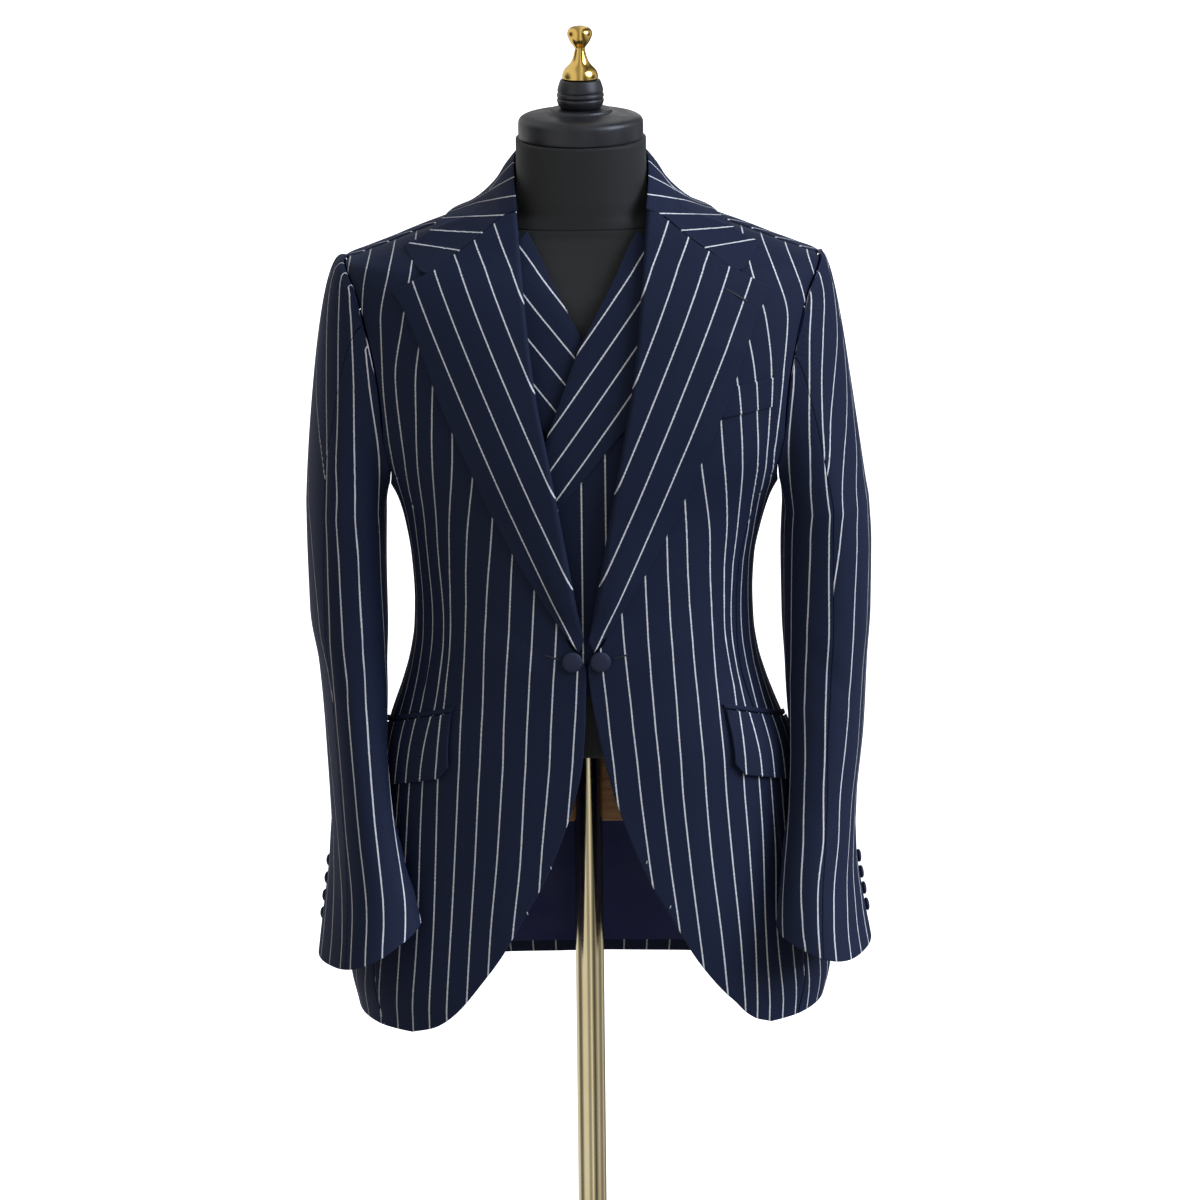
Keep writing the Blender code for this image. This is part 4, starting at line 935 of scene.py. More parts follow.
def lapel_panel(side, word):
    """The grid of a lapel, from inside its fold over the roll to its edge, and its chalk lines."""
    table = rowwise(LAPEL, stops(430, 4.6, len(LAPEL) - 1))
    width = np.hypot(table[:, 2] - table[:, 0], table[:, 3] - table[:, 1])
    loop = np.minimum(2.9 + 1.3 * spread(-1300, -1140, -table[:, 1]), 0.3 * width)
    tuck = FOLD_TUCK * spread(1085, 1112, table[:, 1]) * spread(-1500, -1492, -table[:, 1])
    tuck = np.maximum(np.minimum(tuck, width * 0.8), loop * 1.05)
    under = np.linspace(0, 1, 5)[:-1]
    bend = np.radians(np.linspace(-90, 90, 13))
    over = stops(110, 4.2)[3:]
    over = (over - over[0]) / (over[-1] - over[0])
    out, lift = [], []
    for w, r, k in zip(width, loop, tuck):
        top = 2 * r - 1.0
        out.append(np.concatenate([k + (r - k) * under, r - r * np.cos(bend)[:-1], r + (w - r) * over]))
        fall = top - (top - 2.2) * spread(0.25, 1.0, over)
        lift.append(np.concatenate([-1 + 0 * under, -1 + r + r * np.sin(bend)[:-1], fall]))
    out, lift = np.array(out), np.array(lift)
    share = out / width[:, None]
    x = table[:, 0:1] + (table[:, 2:3] - table[:, 0:1]) * share
    height = table[:, 1:2] + (table[:, 3:4] - table[:, 1:2]) * share
    height = height - gorge_sag(share) * spread(1436, 1499, table[:, 1:2])
    # The lowest part lies flat on the front just above the button.
    low = spread(-1150, -1112, -height)
    lift = lift * (1 - low) + np.minimum(lift, 1.9) * low
    if side > 0:
        over_welt = spread(1270, 1300, height) * spread(-1400, -1375, -height)
        lift = lift + 2.4 * over_welt * spread(0.5, 0.9, share)
    grid = on_front(side * x, height, lift)
    a, b, c, d = LAPEL_STRIPES[word]
    up = height - 1300
    return grid, np.maximum(a - b * x + c * up + d * (up / 100) ** 2, -0.6)


for side, word in SIDES:
    grid, number = lapel_panel(side, word)
    lapel = cloth(f"lapel_{word}_facing", grid, FACING, side < 0, (suiting,), number, sunk=False)
    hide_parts(f"lapel_{word}")

# The collar: a stand sewn round the neck and a leaf that turns down over it, cut in one with its
# chalk lines running across. Its ends are sewn to the lapels' tops along the gorge.
COLLAR_CLOTH = 2.2
COLLAR = (
    # fold x, y, height, stand x, y, height, edge angle, edge height
    (60.5, -60, 1500, 62, -58.5, 1496, 58, 1465), (62, -42, 1513, 68, -44, 1500.5, 68, 1474),
    (63, -20, 1525, 71, -22, 1503, 80, 1480), (63, 0, 1534, 71, 0, 1503.5, 92, 1483),
    (59.5, 27.5, 1541, 66, 30, 1504.5, 112, 1485), (45, 50, 1546, 50, 50, 1505, 132, 1489),
    (23, 64, 1549, 26, 63, 1505.3, 155, 1491), (0, 68.5, 1550, 0, 66, 1505.5, 180, 1492),
)
COLLAR_SAG = 9.0
COLLAR_NOTCH, COLLAR_TIP = 143, (163, 1462.5)
COLLAR_SPACING = 20.0
# The chalk lines are where these planes cut the collar, from its tip round to its back middle.
COLLAR_LINES = (
    # a point of the plane, and the way it faces
    (117, 0, 1450, -0.19, 0.231, 1), (94, 0, 1466, -0.09, 0.231, 1), (71.6, 0, 1482, 0, 0.231, 1),
    (68, 0, 1499.6, 0.11, 0.231, 1), (68, 0, 1516, 0.48, 0.231, 1), (63, -3, 1533, 0.6, 0.8, 0.6),
    (61, 17, 1539, 0.1, 0.96, 0.25), (52, 42, 1544, -0.53, 0.83, 0.18),
    (38, 54, 1547, -0.75, 0.6, 0.1), (20, 65, 1549, -0.95, 0.3, 0.05), (0, 68.5, 1550, -1, 0, 0),
)


def depth_at(y, height):
    """How deep the body's outline is at this height, on this point's side of it."""
    return np.where(y < 0, smooth(BODY, height, 2), smooth(BODY, height, 3))


def top_of_body(x, y):
    """The height of the shoulders at this point of the plan."""
    low, high = np.full(np.shape(x), 1300.0), np.full(np.shape(x), 1508.0)
    for _ in range(24):
        middle = (low + high) / 2
        across = np.abs(x) / smooth(BODY, middle, 1)
        under = across**ROUNDNESS + (np.abs(y) / depth_at(y, middle)) ** ROUNDNESS < 1
        low, high = np.where(under, middle, low), np.where(under, high, middle)
    return low


def inward(point):
    """Unit vector from this point of the neck towards its axis, level."""
    flat = np.array([-point[0], -point[1], 0.0])
    return flat / np.linalg.norm(flat)


def collar_frame():
    """The collar's coarse lines: the stand up to the fold, then the leaf down to its outer edge."""
    leaf = np.linspace(0, 1, 6)[1:] ** 1.3
    half = []
    for row in rowwise(COLLAR, np.linspace(0, len(COLLAR) - 1, 12)):
        fold, base = row[0:3], row[3:6]
        edge = on_body(row[6], row[7], BODY) + outward(row[6], row[7], BODY) * 4.2
        line = [base, fold + (base - fold) * 0.55 + inward(fold) * 2.2,
                fold + (base - fold) * 0.12 + inward(fold) * 2.6, fold]
        for w in leaf:
            puff = 2.2 * np.exp(-(((w - 0.12) / 0.12) ** 2))
            sag = COLLAR_SAG * 4 * w * (1 - w)
            point = fold + (edge - fold) * w - inward(fold) * puff - np.array([0, 0, sag])
            point[2] = max(point[2], top_of_body(point[0], point[1]) + 4.6)
            line.append(point)
        half.append(line)
    # The end follows the lapel's top from its fold as far as the notch, then runs out to the tip.
    fold_x, fold_z, tip_x, tip_z = LAPEL[-1]
    start = fold_x + SEAM_GAP
    gorge = half[0][:4]
    for w in leaf:
        x = start + (COLLAR_NOTCH - start) * w / leaf[-2] if w < 1 else COLLAR_TIP[0]
        share = (x - fold_x) / (tip_x - fold_x)
        above_seam = fold_z + 2 * SEAM_GAP + (tip_z - fold_z) * share - gorge_sag(share)
        z = above_seam if w < 1 else COLLAR_TIP[1]
        lift = 5.6 - 2.5 * spread(0.25, 1.0, share)
        angle = angle_of(x, z)
        gorge.append(on_body(angle, z, BODY) + outward(angle, z, BODY) * lift)
    half[0] = gorge
    right = np.array(half)
    return np.concatenate([right * (-1, 1, 1), right[::-1][1:]])


frame_lines = collar_frame()
lengthways = through(frame_lines, stops(560, 4.2, len(frame_lines) - 1))
fold_at = np.concatenate([stops(95, 2.6, frame_lines.shape[1] - 1), np.linspace(2.4, 4.2, 12)])
grid = through(np.swapaxes(lengthways, 0, 1), np.unique(fold_at)).swapaxes(0, 1)
planes = np.array(COLLAR_LINES)
as_right = grid * np.where(grid[..., :1] < 0, (-1, 1, 1), 1)
above = ((as_right[..., None, :] - planes[:, :3]) * planes[:, 3:]).sum(-1)
passed = np.clip((above > 0).argmin(-1) - 1, 0, len(planes) - 2)[..., None]
near, far = (np.take_along_axis(above, at, -1) for at in (passed, passed + 1))
number = np.maximum((passed + near / np.maximum(near - far, 1))[..., 0], -0.45)
# Round the back of the neck the lines run straight across the leaf, evenly apart.
length = arcs(grid[:, grid.shape[1] // 2][:, None], 0)
behind = spread(-12, 42, grid[..., 1])
from_middle = np.abs(length - length[-1] / 2) / COLLAR_SPACING
number = number * (1 - behind) + (len(COLLAR_LINES) - 1 - from_middle) * behind
collar = cloth("turned_down_collar", grid, COLLAR_CLOTH, True, (suiting,), number)
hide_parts("collar")

# The sleeves: a top and an under sleeve each, set into the armhole with a lightly roped head
# and hanging empty with a bend at the elbow. They are lined, and buttoned at a vent by the cuff.
SLEEVE = {
    # height, middle x, middle y, thin, wide, turn, tip across, tip along
    "left": (
        (1215, 221, 4, 37, 84, 4, 0.0, 0.0), (1170, 221.5, 5, 36.5, 81, 4, 0.0, 0.0),
        (1110, 220.5, 3, 36, 77, 5, 0.0, -0.02), (1060, 217, -4, 31, 73, 6, 0.02, -0.06),
        (1000, 213, -18, 29, 68, 8, 0.05, -0.12), (935, 208, -38, 29, 63, 12, 0.12, -0.18),
        (890, 205, -55, 31, 60, 18, 0.25, -0.22), (855, 203, -68, 37, 58, 24, 0.38, -0.24),
        (822, 203, -80, 43, 56, 28, 0.5, -0.25),
    ),
    "right": (
        (1215, 223, 4, 40, 84, 4, 0.0, 0.0), (1170, 223.5, 5, 42, 81, 4, 0.0, 0.0),
        (1110, 223.3, 3, 41.5, 77, 4, 0.0, -0.02), (1060, 222.5, -4, 38, 73, 5, 0.02, -0.06),
        (1000, 220.5, -18, 35.5, 68, 7, 0.05, -0.12), (935, 216, -38, 32, 63, 10, 0.1, -0.18),
        (890, 214, -55, 32, 60, 14, 0.2, -0.22), (855, 215, -68, 35, 58, 18, 0.28, -0.24),
        (822, 217, -80, 40, 56, 22, 0.36, -0.25),
    ),
}
ARMHOLE = (
    # share of the way round from the shoulder point over the front, angle, height
    (0.00, 90, 1448), (0.03, 78, 1443), (0.08, 66, 1427), (0.14, 60.4, 1398), (0.20, 56.9, 1369),
    (0.27, 54.9, 1334), (0.34, 56.5, 1298), (0.41, 62.4, 1262), (0.50, 90, 1238),
    (0.59, 117.5, 1262), (0.66, 121.4, 1306), (0.74, 121.4, 1350), (0.82, 117.4, 1398),
    (0.90, 110.4, 1427), (0.95, 101, 1442), (1.00, 90, 1448),
)
# How the sleeve head leaves the shoulder, out and up, and how it comes down into the sleeve.
CAP = {"left": (21.5, 22.5, 4, 74), "right": (15, 17.5, 10, 38)}
SLEEVE_ROUNDNESS = 2.5
FOREARM_SEAM = {
    # way down, share of the way round
    "left": ((0, 0.15), (0.65, 0.149), (0.77, 0.136), (1.06, 0.147), (1.23, 0.138), (1.41, 0.104),
             (1.6, 0.08), (1.8, 0.063), (2, 0.065)),
    "right": ((0, 0.213), (0.9, 0.213), (1.1, 0.223), (1.48, 0.224), (1.61, 0.193), (1.75, 0.179),
              (2, 0.184)),
}
HINDARM_SEAM = 0.80
SLEEVE_GAP = 0.0005  # share of the way round left open at each seam
SLEEVE_GIRTH = 380.0  # what a whole share of the way round counts as, for the folds
HEAD_ROPE, ROPE_AT, ROPE_WIDTH = 0.5, 0.045, 0.03
CUT_SHARES, CUT_LEVELS = np.linspace(-0.25, 0.85, 276), np.arange(800.0, 1470.0, 5.0)
# The chalk lines of each half, charted like the fronts' and from the outside of the arm inwards:
# how far round each line is from the line down the top of the sleeve, at each of these heights.
SLEEVE_HEIGHTS = (822, 900, 970, 1040, 1115, 1190, 1230, 1270, 1300, 1340, 1380, 1420, 1440)
SLEEVE_LINES = {
    # cuff, forearm, below the elbow, elbow, above it, upper arm, and on up to the head
    ("left", "top"): (
        (-2, -10, -12, -16, -11, -13, -19, -32, -40, -46, -52, -68, -80),
        (19, 11, 9, 5, 10, 8, 2, -10, -18, -24, -30, -46, -58),
        (42, 38, 40, 48, 51, 42, 27, 12, 6, -2, -10, -26, -38),
        (62, 58, 60, 68, 74, 80, 76, 62, 47, 25, 14, -4, -16),
        (82, 78, 80, 88, 95, 98, 90, 70, 64, 55, 44, 31, 24),
        (104, 100, 102, 108, 115, 116, 104, 83, 80, 73, 63, 50, 40),
        (125, 121, 123, 129, 136, 137, 124, 101, 97, 90, 79, 62, 46),
        (147, 143, 145, 151, 158, 159, 146, 125, 117, 105, 92, 78, 64),
    ),
    ("left", "under"): (
        (34, 34, 43, 53, 70, 75, 74, 70, 64, 55, 44, 31, 24),
        (51, 54, 63, 72, 84, 88, 88, 83, 80, 73, 63, 50, 40),
        (67, 71, 79, 89, 102, 106, 105, 101, 97, 90, 79, 62, 46),
        (88, 92, 103, 125, 134, 138, 134, 125, 117, 105, 92, 78, 64),
        (109, 113, 125, 147, 156, 160, 156, 147, 139, 127, 114, 100, 86),
    ),
    ("right", "top"): (
        (5, -3, 1, 7, 12, 9, 0, -12, -20, -32, -46, -60, -68),
        (26, 18, 22, 28, 33, 30, 20, 8, 0, -12, -26, -40, -48),
        (46, 43, 54, 59, 66, 63, 54, 32, 22, 8, -6, -22, -30),
        (66, 64, 76, 84, 92, 86, 79, 63, 47, 28, 14, -2, -12),
        (88, 86, 98, 104, 108, 104, 98, 85, 76, 58, 36, 19, 8),
        (108, 106, 118, 124, 128, 124, 116, 90, 85, 76, 62, 46, 42),
        (128, 126, 138, 144, 148, 144, 136, 103, 98, 89, 78, 62, 56),
        (150, 148, 160, 166, 170, 166, 158, 124, 116, 104, 92, 78, 68),
    ),
    ("right", "under"): (
        (42, 42, 54, 65, 73, 77, 75, 70, 65, 56, 42, 26, 22),
        (62, 62, 74, 85, 93, 97, 95, 90, 85, 76, 62, 46, 42),
        (75, 80, 92, 105, 113, 114, 110, 103, 98, 89, 78, 62, 56),
        (97, 101, 113, 126, 134, 137, 133, 124, 116, 104, 92, 78, 68),
        (118, 122, 134, 147, 155, 158, 154, 145, 137, 126, 114, 100, 90),
    ),
}
SLEEVE_FOLDS = (
    # share round, height, share round, height, half width, depth
    (0.30, 1085, 0.12, 1035, 9, -1.4), (0.40, 1062, 0.22, 1010, 8, 1.0),
    (0.34, 1120, 0.20, 1088, 9, 0.9), (0.72, 1075, 0.90, 1040, 10, -1.2),
    (0.66, 1040, 0.86, 1002, 9, 0.9), (0.12, 1330, 0.16, 1180, 13, -1.1),
    (0.93, 1340, 0.90, 1190, 14, -1.0), (0.02, 1300, 0.04, 1120, 16, 0.8),
    (0.34, 960, 0.16, 920, 9, -0.8), (0.80, 950, 0.98, 905, 10, -0.7),
    (0.55, 1180, 0.60, 1040, 12, 0.8),
)


def sleeve_ring(table, share, down):
    """Points of a sleeve's rings as on the right; down counts the rows of its table."""
    numbered = [(i, *row) for i, row in enumerate(table)]
    columns = (smooth(numbered, down, c) for c in range(1, len(numbered[0])))
    height, mid_x, mid_y, thin, wide, turn, across, along = columns
    c, s = np.cos(2 * np.pi * share), np.sin(2 * np.pi * share)
    out = thin * np.sign(c) * np.abs(c) ** (2 / SLEEVE_ROUNDNESS)
    fore = wide * np.sign(s) * np.abs(s) ** (2 / SLEEVE_ROUNDNESS)
    turn = np.radians(turn)
    x = out * np.cos(turn) - fore * np.sin(turn)
    y = -fore * np.cos(turn) - out * np.sin(turn)
    return np.stack([mid_x + x, mid_y + y, height - across * x - along * y], -1)


def sleeve_point(side, share, along):
    """The sleeve's outer face: share runs round from the shoulder over the front, along runs down."""
    share, along = np.broadcast_arrays(np.asarray(share, float), np.asarray(along, float))
    around = share % 1.0
    start = on_body(smooth(ARMHOLE, around, 1), smooth(ARMHOLE, around, 2), BODY)
    crown = (1 + np.cos(2 * np.pi * around)) / 2
    start = start + np.stack([0.2 - 1.0 * crown, 0 * crown, -0.4 * (1 - crown) - 0.6 * crown], -1)
    table = SLEEVE["left" if side < 0 else "right"]
    down = np.maximum(along - 1, 0) * (len(table) - 1)
    ring = sleeve_ring(table, around, down)
    first = sleeve_ring(table, around, 0 * down)
    out, rise, back, reach = CAP["left" if side < 0 else "right"]
    lead = start + np.stack([2 + out * crown, 0 * crown, -6 * (1 - crown) + rise * crown], -1)
    trail = first + np.stack([-back * crown, 0 * crown, 8 + reach * crown], -1)
    t = np.clip(along, 0, 1)[..., None]
    cap = start * (1 - t) ** 3 + 3 * lead * t * (1 - t) ** 2
    cap = cap + 3 * trail * t * t * (1 - t) + first * t**3
    made = np.where(along[..., None] <= 1, cap, ring)
    # The empty sleeve lies against the body's side, and over the pocket's flap.
    over_flap = spread(905, 938, made[..., 2]) * spread(-1070, -1035, -made[..., 2])
    clear = 1.4 + 4.3 * spread(0.15, 1.0, along) + 6.0 * over_flap
    across = made[..., 0] / (smooth(BODY, made[..., 2], 1) + clear)
    deep = np.abs(made[..., 1]) / (depth_at(made[..., 1], made[..., 2]) + clear)
    reach = (across**ROUNDNESS + deep**ROUNDNESS) ** (1 / ROUNDNESS)
    past = reach - 1
    soft = 0.0001 + 0.02 * spread(0.1, 1.0, along)
    made[..., :2] *= ((1 + (past + np.sqrt(past * past + soft * soft)) / 2) / reach)[..., None]
    made[..., 0] *= side
    return made


def level_cuts(side):
    """How far round the sleeve each share is from share 0, at a stack of level cuts."""
    down = np.linspace(0, 2, 301)[:, None]
    cuts = []
    for line in np.swapaxes(sleeve_point(side, CUT_SHARES[None, :], down), 0, 1):
        rising = line[line[:, 2].argmax() :][::-1]
        cuts.append(np.stack([np.interp(CUT_LEVELS, rising[:, 2], rising[:, i]) for i in (0, 1)], -1))
    run = arcs(np.swapaxes(cuts, 0, 1), 1)
    return run - np.array([[np.interp(0, CUT_SHARES, level)] for level in run])


def sleeve_panel(side, word, half):
    """The grid of one half of a sleeve, and its chalk lines."""
    top = half == "top"
    along = np.unique(np.concatenate([stops(620, 5.0, 2.0), np.linspace(0.02, 0.5, 14)]))[:, None]
    forearm = smooth(FOREARM_SEAM[word], along)
    first, last = (HINDARM_SEAM - 1, forearm) if top else (forearm, HINDARM_SEAM)
    across = stops(190 if top else 240, 4.0)[None, :]
    share = first + SLEEVE_GAP + (last - first - 2 * SLEEVE_GAP) * across
    grid = sleeve_point(side, share, along)
    z = grid[..., 2]
    round_it = looked_up(level_cuts(side), rank(CUT_LEVELS, z), rank(CUT_SHARES, share))
    number = charted(SLEEVE_HEIGHTS, SLEEVE_LINES[word, half], z, round_it)
    fold = 0 * z
    for s0, z0, s1, z1, width, depth in SLEEVE_FOLDS:
        run = np.array([(s1 - s0) * SLEEVE_GIRTH, z1 - z0])
        around = ((share - s0 + 0.5) % 1.0 - 0.5) * SLEEVE_GIRTH
        fold = fold + crease(around, z - z0, run, width, depth, (0.2, 0.35))
    fold = fold + 0.3 * np.sin(z / 47 + 9 * share * np.pi) * spread(0.2, 1.0, along)
    # The seam allowance pressed into the sleeve ropes its head a little.
    crown = (1 + np.cos(2 * np.pi * share)) / 2
    fold = fold + HEAD_ROPE * crown * np.exp(-(((along - ROPE_AT) / ROPE_WIDTH) ** 2))
    normal = np.cross(np.gradient(grid, axis=1), np.gradient(grid, axis=0))
    normal = -normal * side / np.linalg.norm(normal, axis=-1, keepdims=True)
    normal = normal * np.sign((normal * (grid - grid.mean(1)[:, None])).sum(-1).mean())
    return grid + normal * (fold * spread(0, 0.06, along))[..., None], number


for side, word in SIDES:
    for half in ("top", "under"):
        grid, number = sleeve_panel(side, word, half)
        name = f"{half}_sleeve_{word}_cloth"
        sleeve = cloth(name, grid, FACING, side < 0, (suiting, lining), number, roll=0.7)
        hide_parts(f"{half}_sleeve_{word}")
        area = 0.098 if half == "top" else 0.093

# The hip pockets: a flap with its front corner rounded, hanging from under a narrow jet, and a
# breast welt on the right front. Their chalk lines are matched to the front's.
FLAP_START = {"left": 40.5, "right": 43.5}
FLAP_TOP, FLAP_DEPTH, FLAP_SLANT, FLAP_SWEEP = 1036, 60, 0.6, 56
FLAP_LEAN = 3.0
FLAP_CLOTH, JET_CLOTH = 2.2, 1.5
JET_HEIGHT = 5.0
WELT_X, WELT_TOP, WELT_SLANT, WELT_HEIGHT = (126, 176), 1348, 0.13, 27

for side, word in SIDES:
    start = FLAP_START[word]
    t, u = stops(58, 3.0)[:, None], stops(130, 2.6)[None, :]
    angle = start + FLAP_SWEEP * u - FLAP_LEAN * (1 - t) * (1 - u)
    top = FLAP_TOP - FLAP_SLANT * FLAP_SWEEP * u
    corner = 9 * (1 - spread(0, 5.0, FLAP_SWEEP * u)) ** 2
    height = top - (FLAP_DEPTH - corner) * (1 - t)
    lift = 3.2 + 2.0 * (1 - t) + 0.5 * np.sin(t * np.pi) * np.cos(np.radians(angle * 6))
    number = front_number(word, side * angle, height)
    grid = laid(side * angle, height, lift)
    flap = cloth(f"pocket_flap_{word}", grid, FLAP_CLOTH, side < 0, (suiting, lining), number)
    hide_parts(f"flap_{word}")
    t, u = stops(JET_HEIGHT, 1.2)[:, None], stops(132, 3.0)[None, :]
    angle = start - 0.5 + (FLAP_SWEEP + 2.0) * u
    height = FLAP_TOP + 0.8 - FLAP_SLANT * (angle - start) + t * JET_HEIGHT
    bead = 2.6 + 0.5 * np.sin(np.pi * t) - 1.8 * u**10
    grid = laid(side * (angle + 0 * height), height, bead)
    jet = cloth(f"pocket_jet_{word}", grid, JET_CLOTH, side < 0, (suiting,), 0.5)
    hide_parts(f"jet_{word}")

x = WELT_X[0] + stops(54, 3.0)[None, :] * (WELT_X[1] - WELT_X[0])
top = WELT_TOP + WELT_SLANT * (x - WELT_X[1])
height = top - WELT_HEIGHT * (1 - stops(WELT_HEIGHT, 2.5)[:, None])
angle = angle_of(x, height)
number = front_number("right", angle, height)
welt = cloth("breast_pocket_welt", laid(angle, height, 2.2), FACING, False, (suiting,), number)
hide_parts("breast_welt")

# The link fastening's two covered buttons, one on each front, and four smaller ones by each
# cuff's vent. Each is a metal shell in the suit's own cloth, sewn on flat.
FRONT_BUTTON, FRONT_BUTTON_AT = (9.6, 4.4), (13.0, 1089.0)  # radius and thickness; across, height
CUFF_BUTTON = (6.2, 3.6)
CUFF_BUTTONS = (1.79, 1.835, 1.88, 1.925)
CUFF_BUTTON_SHARE = {"left": 0.835, "right": 0.88}
for side, word in SIDES:
    across, height = FRONT_BUTTON_AT
    at = on_front(np.array(side * across), np.array(height), 0.35)
    button = covered_button(f"front_button_{word}_covered", *FRONT_BUTTON, at, (0, -1, 0), cover)
    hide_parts(f"front_button_{word}")
    for i, along in enumerate(CUFF_BUTTONS):
        share = CUFF_BUTTON_SHARE[word]
        here = sleeve_point(side, share, along)
        aside = sleeve_point(side, share + 0.01, along) - here
        above = sleeve_point(side, share, along - 0.01) - here
        out = -side * np.cross(aside, above)
        out = out / np.linalg.norm(out)
        name = f"cuff_button_{word}_{i + 1}"
        button = covered_button(name + "_covered", *CUFF_BUTTON, here + out * 0.45, out, cover)
        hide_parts(name)

# The buttonholes are slits bound with navy silk twist, one in each front and one in the right
# lapel. Small pale stitches hold the facings in place behind the cutaway edges.


def spun(name, dark, light, roughness, plies):
    """A twisted thread: its plies show as a fine relief, this many millimetres apart."""
    finish, tree, place = new_finish(name)
    twisted = add(tree, "TexNoise", {"Vector": place, "Scale": per(plies), "Detail": 2.0})
    tone = add(tree, "MixRGB", {"Fac": twisted, "Color1": linear(dark), "Color2": linear(light)})
    shade(tree, {"Base Color": tone, "Roughness": roughness}, bump=twisted, distance=0.0002)
    return finish


twist = spun("navy_buttonhole_twist", "#05070f", "#10162c", 0.55, 0.7143)
tacking = spun("pale_tacking_thread", "#b9b6aa", "#e4e1d6", 0.7, 0.6667)
STITCHES = (
    # name, from x, height, to x, height, half width, above the cloth, finish
    ("buttonhole_front_right", 26, 1091.5, 37.5, 1095, 0.9, 0.5, twist),
    ("buttonhole_front_left", -26, 1091.5, -37.5, 1095, 0.9, 0.5, twist),
    ("buttonhole_lapel_right", 130, 1430, 149, 1418, 0.9, 4.0, twist),
    ("facing_stitch_left_1", -35.2, 895, -34.6, 893, 0.5, 0.4, tacking),
    ("facing_stitch_left_2", -57.4, 852, -56.8, 850, 0.5, 0.4, tacking),
    ("facing_stitch_right_1", 53.8, 899, 53.2, 897, 0.5, 0.4, tacking),
    ("facing_stitch_right_2", 75.2, 856, 74.6, 854, 0.5, 0.4, tacking),
)
for name, x0, z0, x1, z1, half, lift, finish in STITCHES:
    length = math.hypot(x1 - x0, z1 - z0)
    run = np.linspace(-half, length + half, 16)
    past_end = np.maximum(np.maximum(-run, run - length), 0) / half
    wide = half * np.sqrt(np.clip(1 - past_end**2, 0.02, 1))
    turn = np.linspace(0, 2 * np.pi, 9)[:-1]
    ahead = run[:, None] / length
    aside = wide[:, None] * np.cos(turn) / length
    x = x0 + (x1 - x0) * ahead - (z1 - z0) * aside
    z = z0 + (z1 - z0) * ahead + (x1 - x0) * aside
    ring = on_front(x, z, lift + 0.4 * wide[:, None] * np.sin(turn))
    new_piece(name, ring.reshape(-1, 3), tube_faces(*ring.shape[:2], clockwise=True), finish)

# Inside the back: the striped cloth turned up for a hem, and the indigo lining felled over it.
# Both show between the cutaway fronts, from one side panel's back seam round to the other's.
LINING = 1.0
HEM_CLOTH = 1.5
INSIDE_FROM = 122
HEM_TURN_UP, HEM_INSET = (752, 786), 4.2
LINING_SHOWS, LINING_INSET, LINING_EASE = (763, 1012), 6.4, 0.35
HEM_LEVEL = 770.0


def inside_back(low, high, step):
    """Where a piece inside the back lies: its angles and heights."""
    angle = INSIDE_FROM + (360 - 2 * INSIDE_FROM) * stops(330, step)[None, :]
    height = low + (high - low) * stops(high - low, step)[:, None]
    return np.broadcast_arrays(angle, height)


angle, height = inside_back(*HEM_TURN_UP, 4.0)
from_seam = girth(180, HEM_LEVEL) - girth(np.minimum(angle, 360 - angle), HEM_LEVEL)
number = 0.5 + np.abs(from_seam) / STRIPE
hem = cloth("back_hem_turned_up", laid(angle, height, -HEM_INSET), HEM_CLOTH, False, (suiting,), number)
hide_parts("back_hem_turnup")
angle, height = inside_back(*LINING_SHOWS, 5.0)
ease = LINING_EASE * np.sin(np.radians(angle * 14)) * spread(-800, -765, -height)
grid = laid(angle, height, ease - LINING_INSET)
felled = cloth("back_lining_satin", grid, LINING, False, (lining,))
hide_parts("back_lining")

# The studio: a plain pale floor that runs far back, a broad key light from the side and soft
# light from all round. It isn't part of the object.
FLOOR_SIZE = 60.0
mesh = bpy.data.meshes.new("studio_floor")
reach = FLOOR_SIZE / 2
corners = [(-reach, -reach, 0), (reach, -reach, 0), (reach, reach, 0), (-reach, reach, 0)]
mesh.from_pydata(corners, [], [(0, 1, 2, 3)])
pale, tree, place = new_finish("pale_studio_floor")
dust = add(tree, "TexNoise", {"Vector": place, "Scale": per(500), "Detail": 2.0})
tone = add(tree, "MixRGB", {"Fac": dust, "Color1": linear("#f3f3f3"), "Color2": linear("#f8f8f8")})
shade(
    tree,
    {"Base Color": tone, "Roughness": 0.9, "Emission Color": linear("#ffffff"), "Emission Strength": 1.0},
)
mesh.materials.append(pale)
floor = bpy.data.objects.new("studio_floor", mesh)
floor.visible_diffuse = floor.visible_glossy = False
bpy.context.scene.collection.objects.link(floor)

sun = bpy.data.lights.new("key_light", "SUN")
sun.energy, sun.angle = 2.9, math.radians(40)
sun.color = linear("#dfeaff")[:3]
key = bpy.data.objects.new("key_light", sun)
key.rotation_euler = Vector((-0.95, 0.36, -0.6)).to_track_quat("-Z", "Y").to_euler()
bpy.context.scene.collection.objects.link(key)

# Softboxes stand in the world's light: bright in front and overhead, dim at both sides and below.
world = bpy.data.worlds.new("studio")
bpy.context.scene.world = world
world.use_nodes = True
tree = world.node_tree
tree.nodes.clear()
ways = add(tree, "SeparateXYZ", {0: add(tree, "TexCoord").outputs["Generated"]})
front = add(tree, "MapRange", {"Value": ways.outputs["Y"], 1: 0.1, 2: -0.9, 3: 0.12, 4: 0.5})
above = add(tree, "MapRange", {"Value": ways.outputs["Z"], 1: -0.3, 2: 0.8, 3: 0.35, 4: 1.2})
power = add(tree, "Math", {0: front, 1: above}, operation="MULTIPLY")
lit = add(tree, "Background", {"Color": linear("#fbfbfa"), "Strength": power})
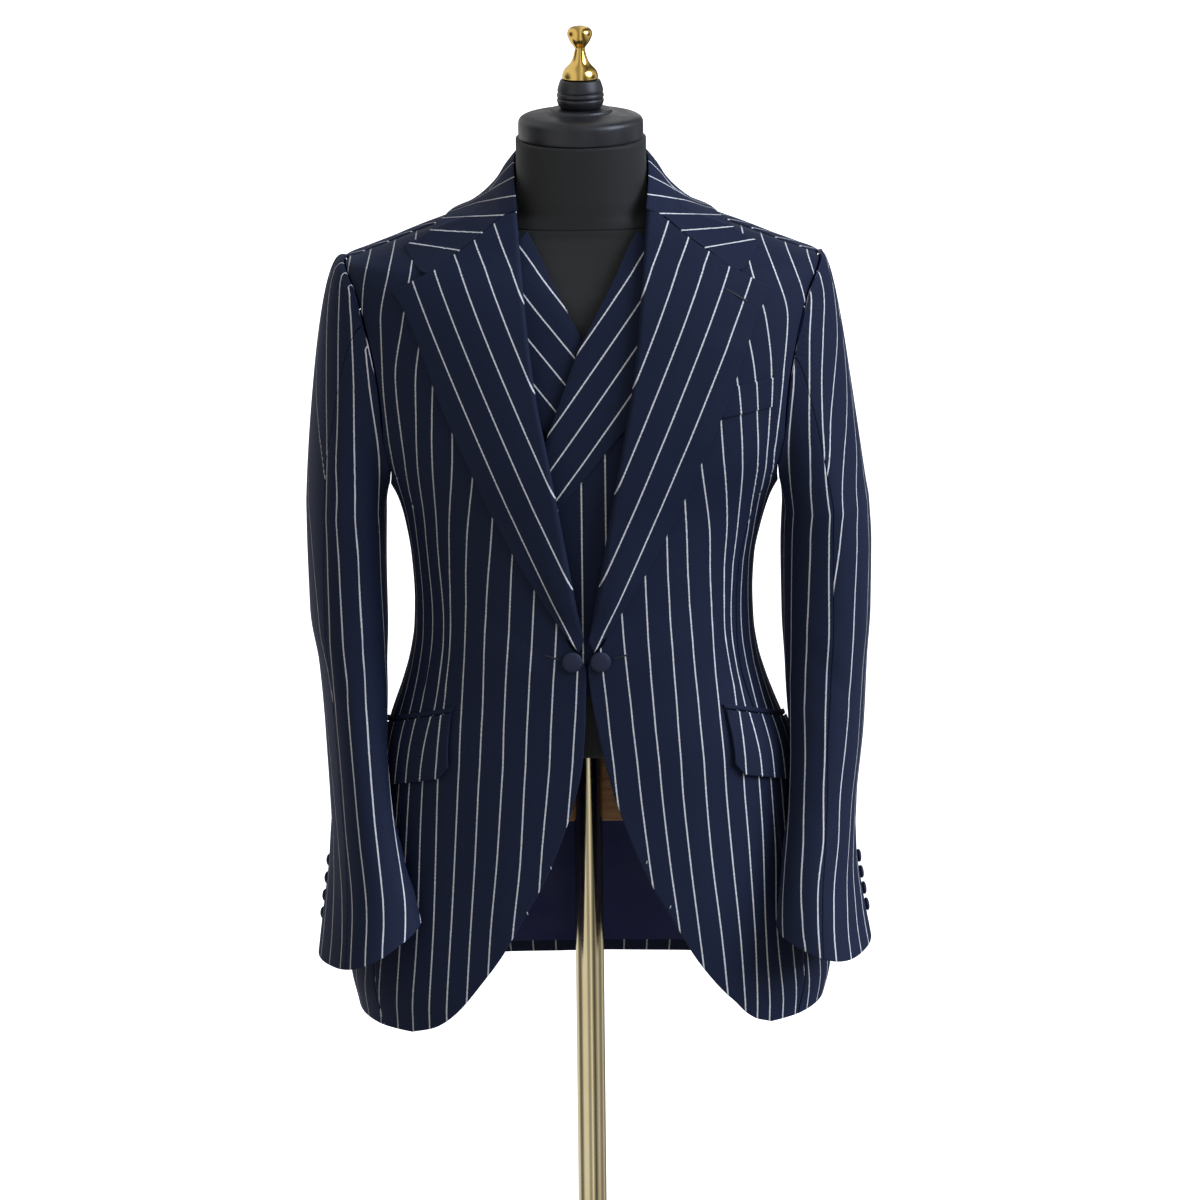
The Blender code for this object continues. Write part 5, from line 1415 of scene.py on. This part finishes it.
# What polished metal mirrors: tall softboxes either side of the camera, with the dark room between.
SOFTBOXES = (
    # way across from the left, brightness
    (0.03, 0.25), (0.075, 1.0), (0.275, 1.0), (0.35, 0.45), (0.43, 0.4), (0.5, 0.6), (0.57, 1.25),
    (0.65, 0.4), (0.765, 0.05), (0.85, 0.35), (0.935, 0.8), (0.985, 0.2),
)
across = add(tree, "MapRange", {"Value": ways.outputs["X"], 1: -1.0, 2: 1.0})
bands = add(tree, "ValToRGB", {"Fac": across})
for place, bright in SOFTBOXES:
    bands.color_ramp.elements.new(place).color = (bright, bright, bright, 1)
for end in (0, -1):
    bands.color_ramp.elements[end].color = linear("#3c3c3c")
mirrored = add(tree, "Background", {"Color": bands, "Strength": 0.9})
seen = add(tree, "Background", {"Color": linear("#ffffff"), "Strength": 1.0})
ray = add(tree, "LightPath")
soft = add(tree, "MixShader", {0: ray.outputs["Is Glossy Ray"], 1: lit, 2: mirrored})
both = add(tree, "MixShader", {0: ray.outputs["Is Camera Ray"], 1: soft, 2: seen})
add(tree, "OutputWorld", {"Surface": both})
bpy.context.scene.view_settings.view_transform = "Standard"

# The camera stands eight metres off above chest height, looking a little down. Its distance,
# what it takes in at the stand's pole, and where it aims are in metres.
DISTANCE, VIEW_WIDTH, SENSOR = 8.0, 1.116, 36
TILT, ROLL = math.radians(13), math.radians(-0.62)
aim = Vector((0.01302, 0, 1.12))
ahead = Vector((0, math.cos(TILT), -math.sin(TILT)))
right = Vector((1, 0, 0))
up = right.cross(ahead)
rolled = right * math.cos(ROLL) + up * math.sin(ROLL)
right, up = rolled, up * math.cos(ROLL) - right * math.sin(ROLL)
lens = bpy.data.cameras.new("portrait_camera")
lens.sensor_width = SENSOR
lens.lens = SENSOR * DISTANCE / VIEW_WIDTH
lens.clip_end = 100
camera = bpy.data.objects.new("portrait_camera", lens)
stance = Matrix((right, up, -ahead)).transposed().to_4x4()
stance.translation = aim - ahead * DISTANCE
camera.matrix_world = stance
bpy.context.scene.collection.objects.link(camera)
bpy.context.scene.camera = camera
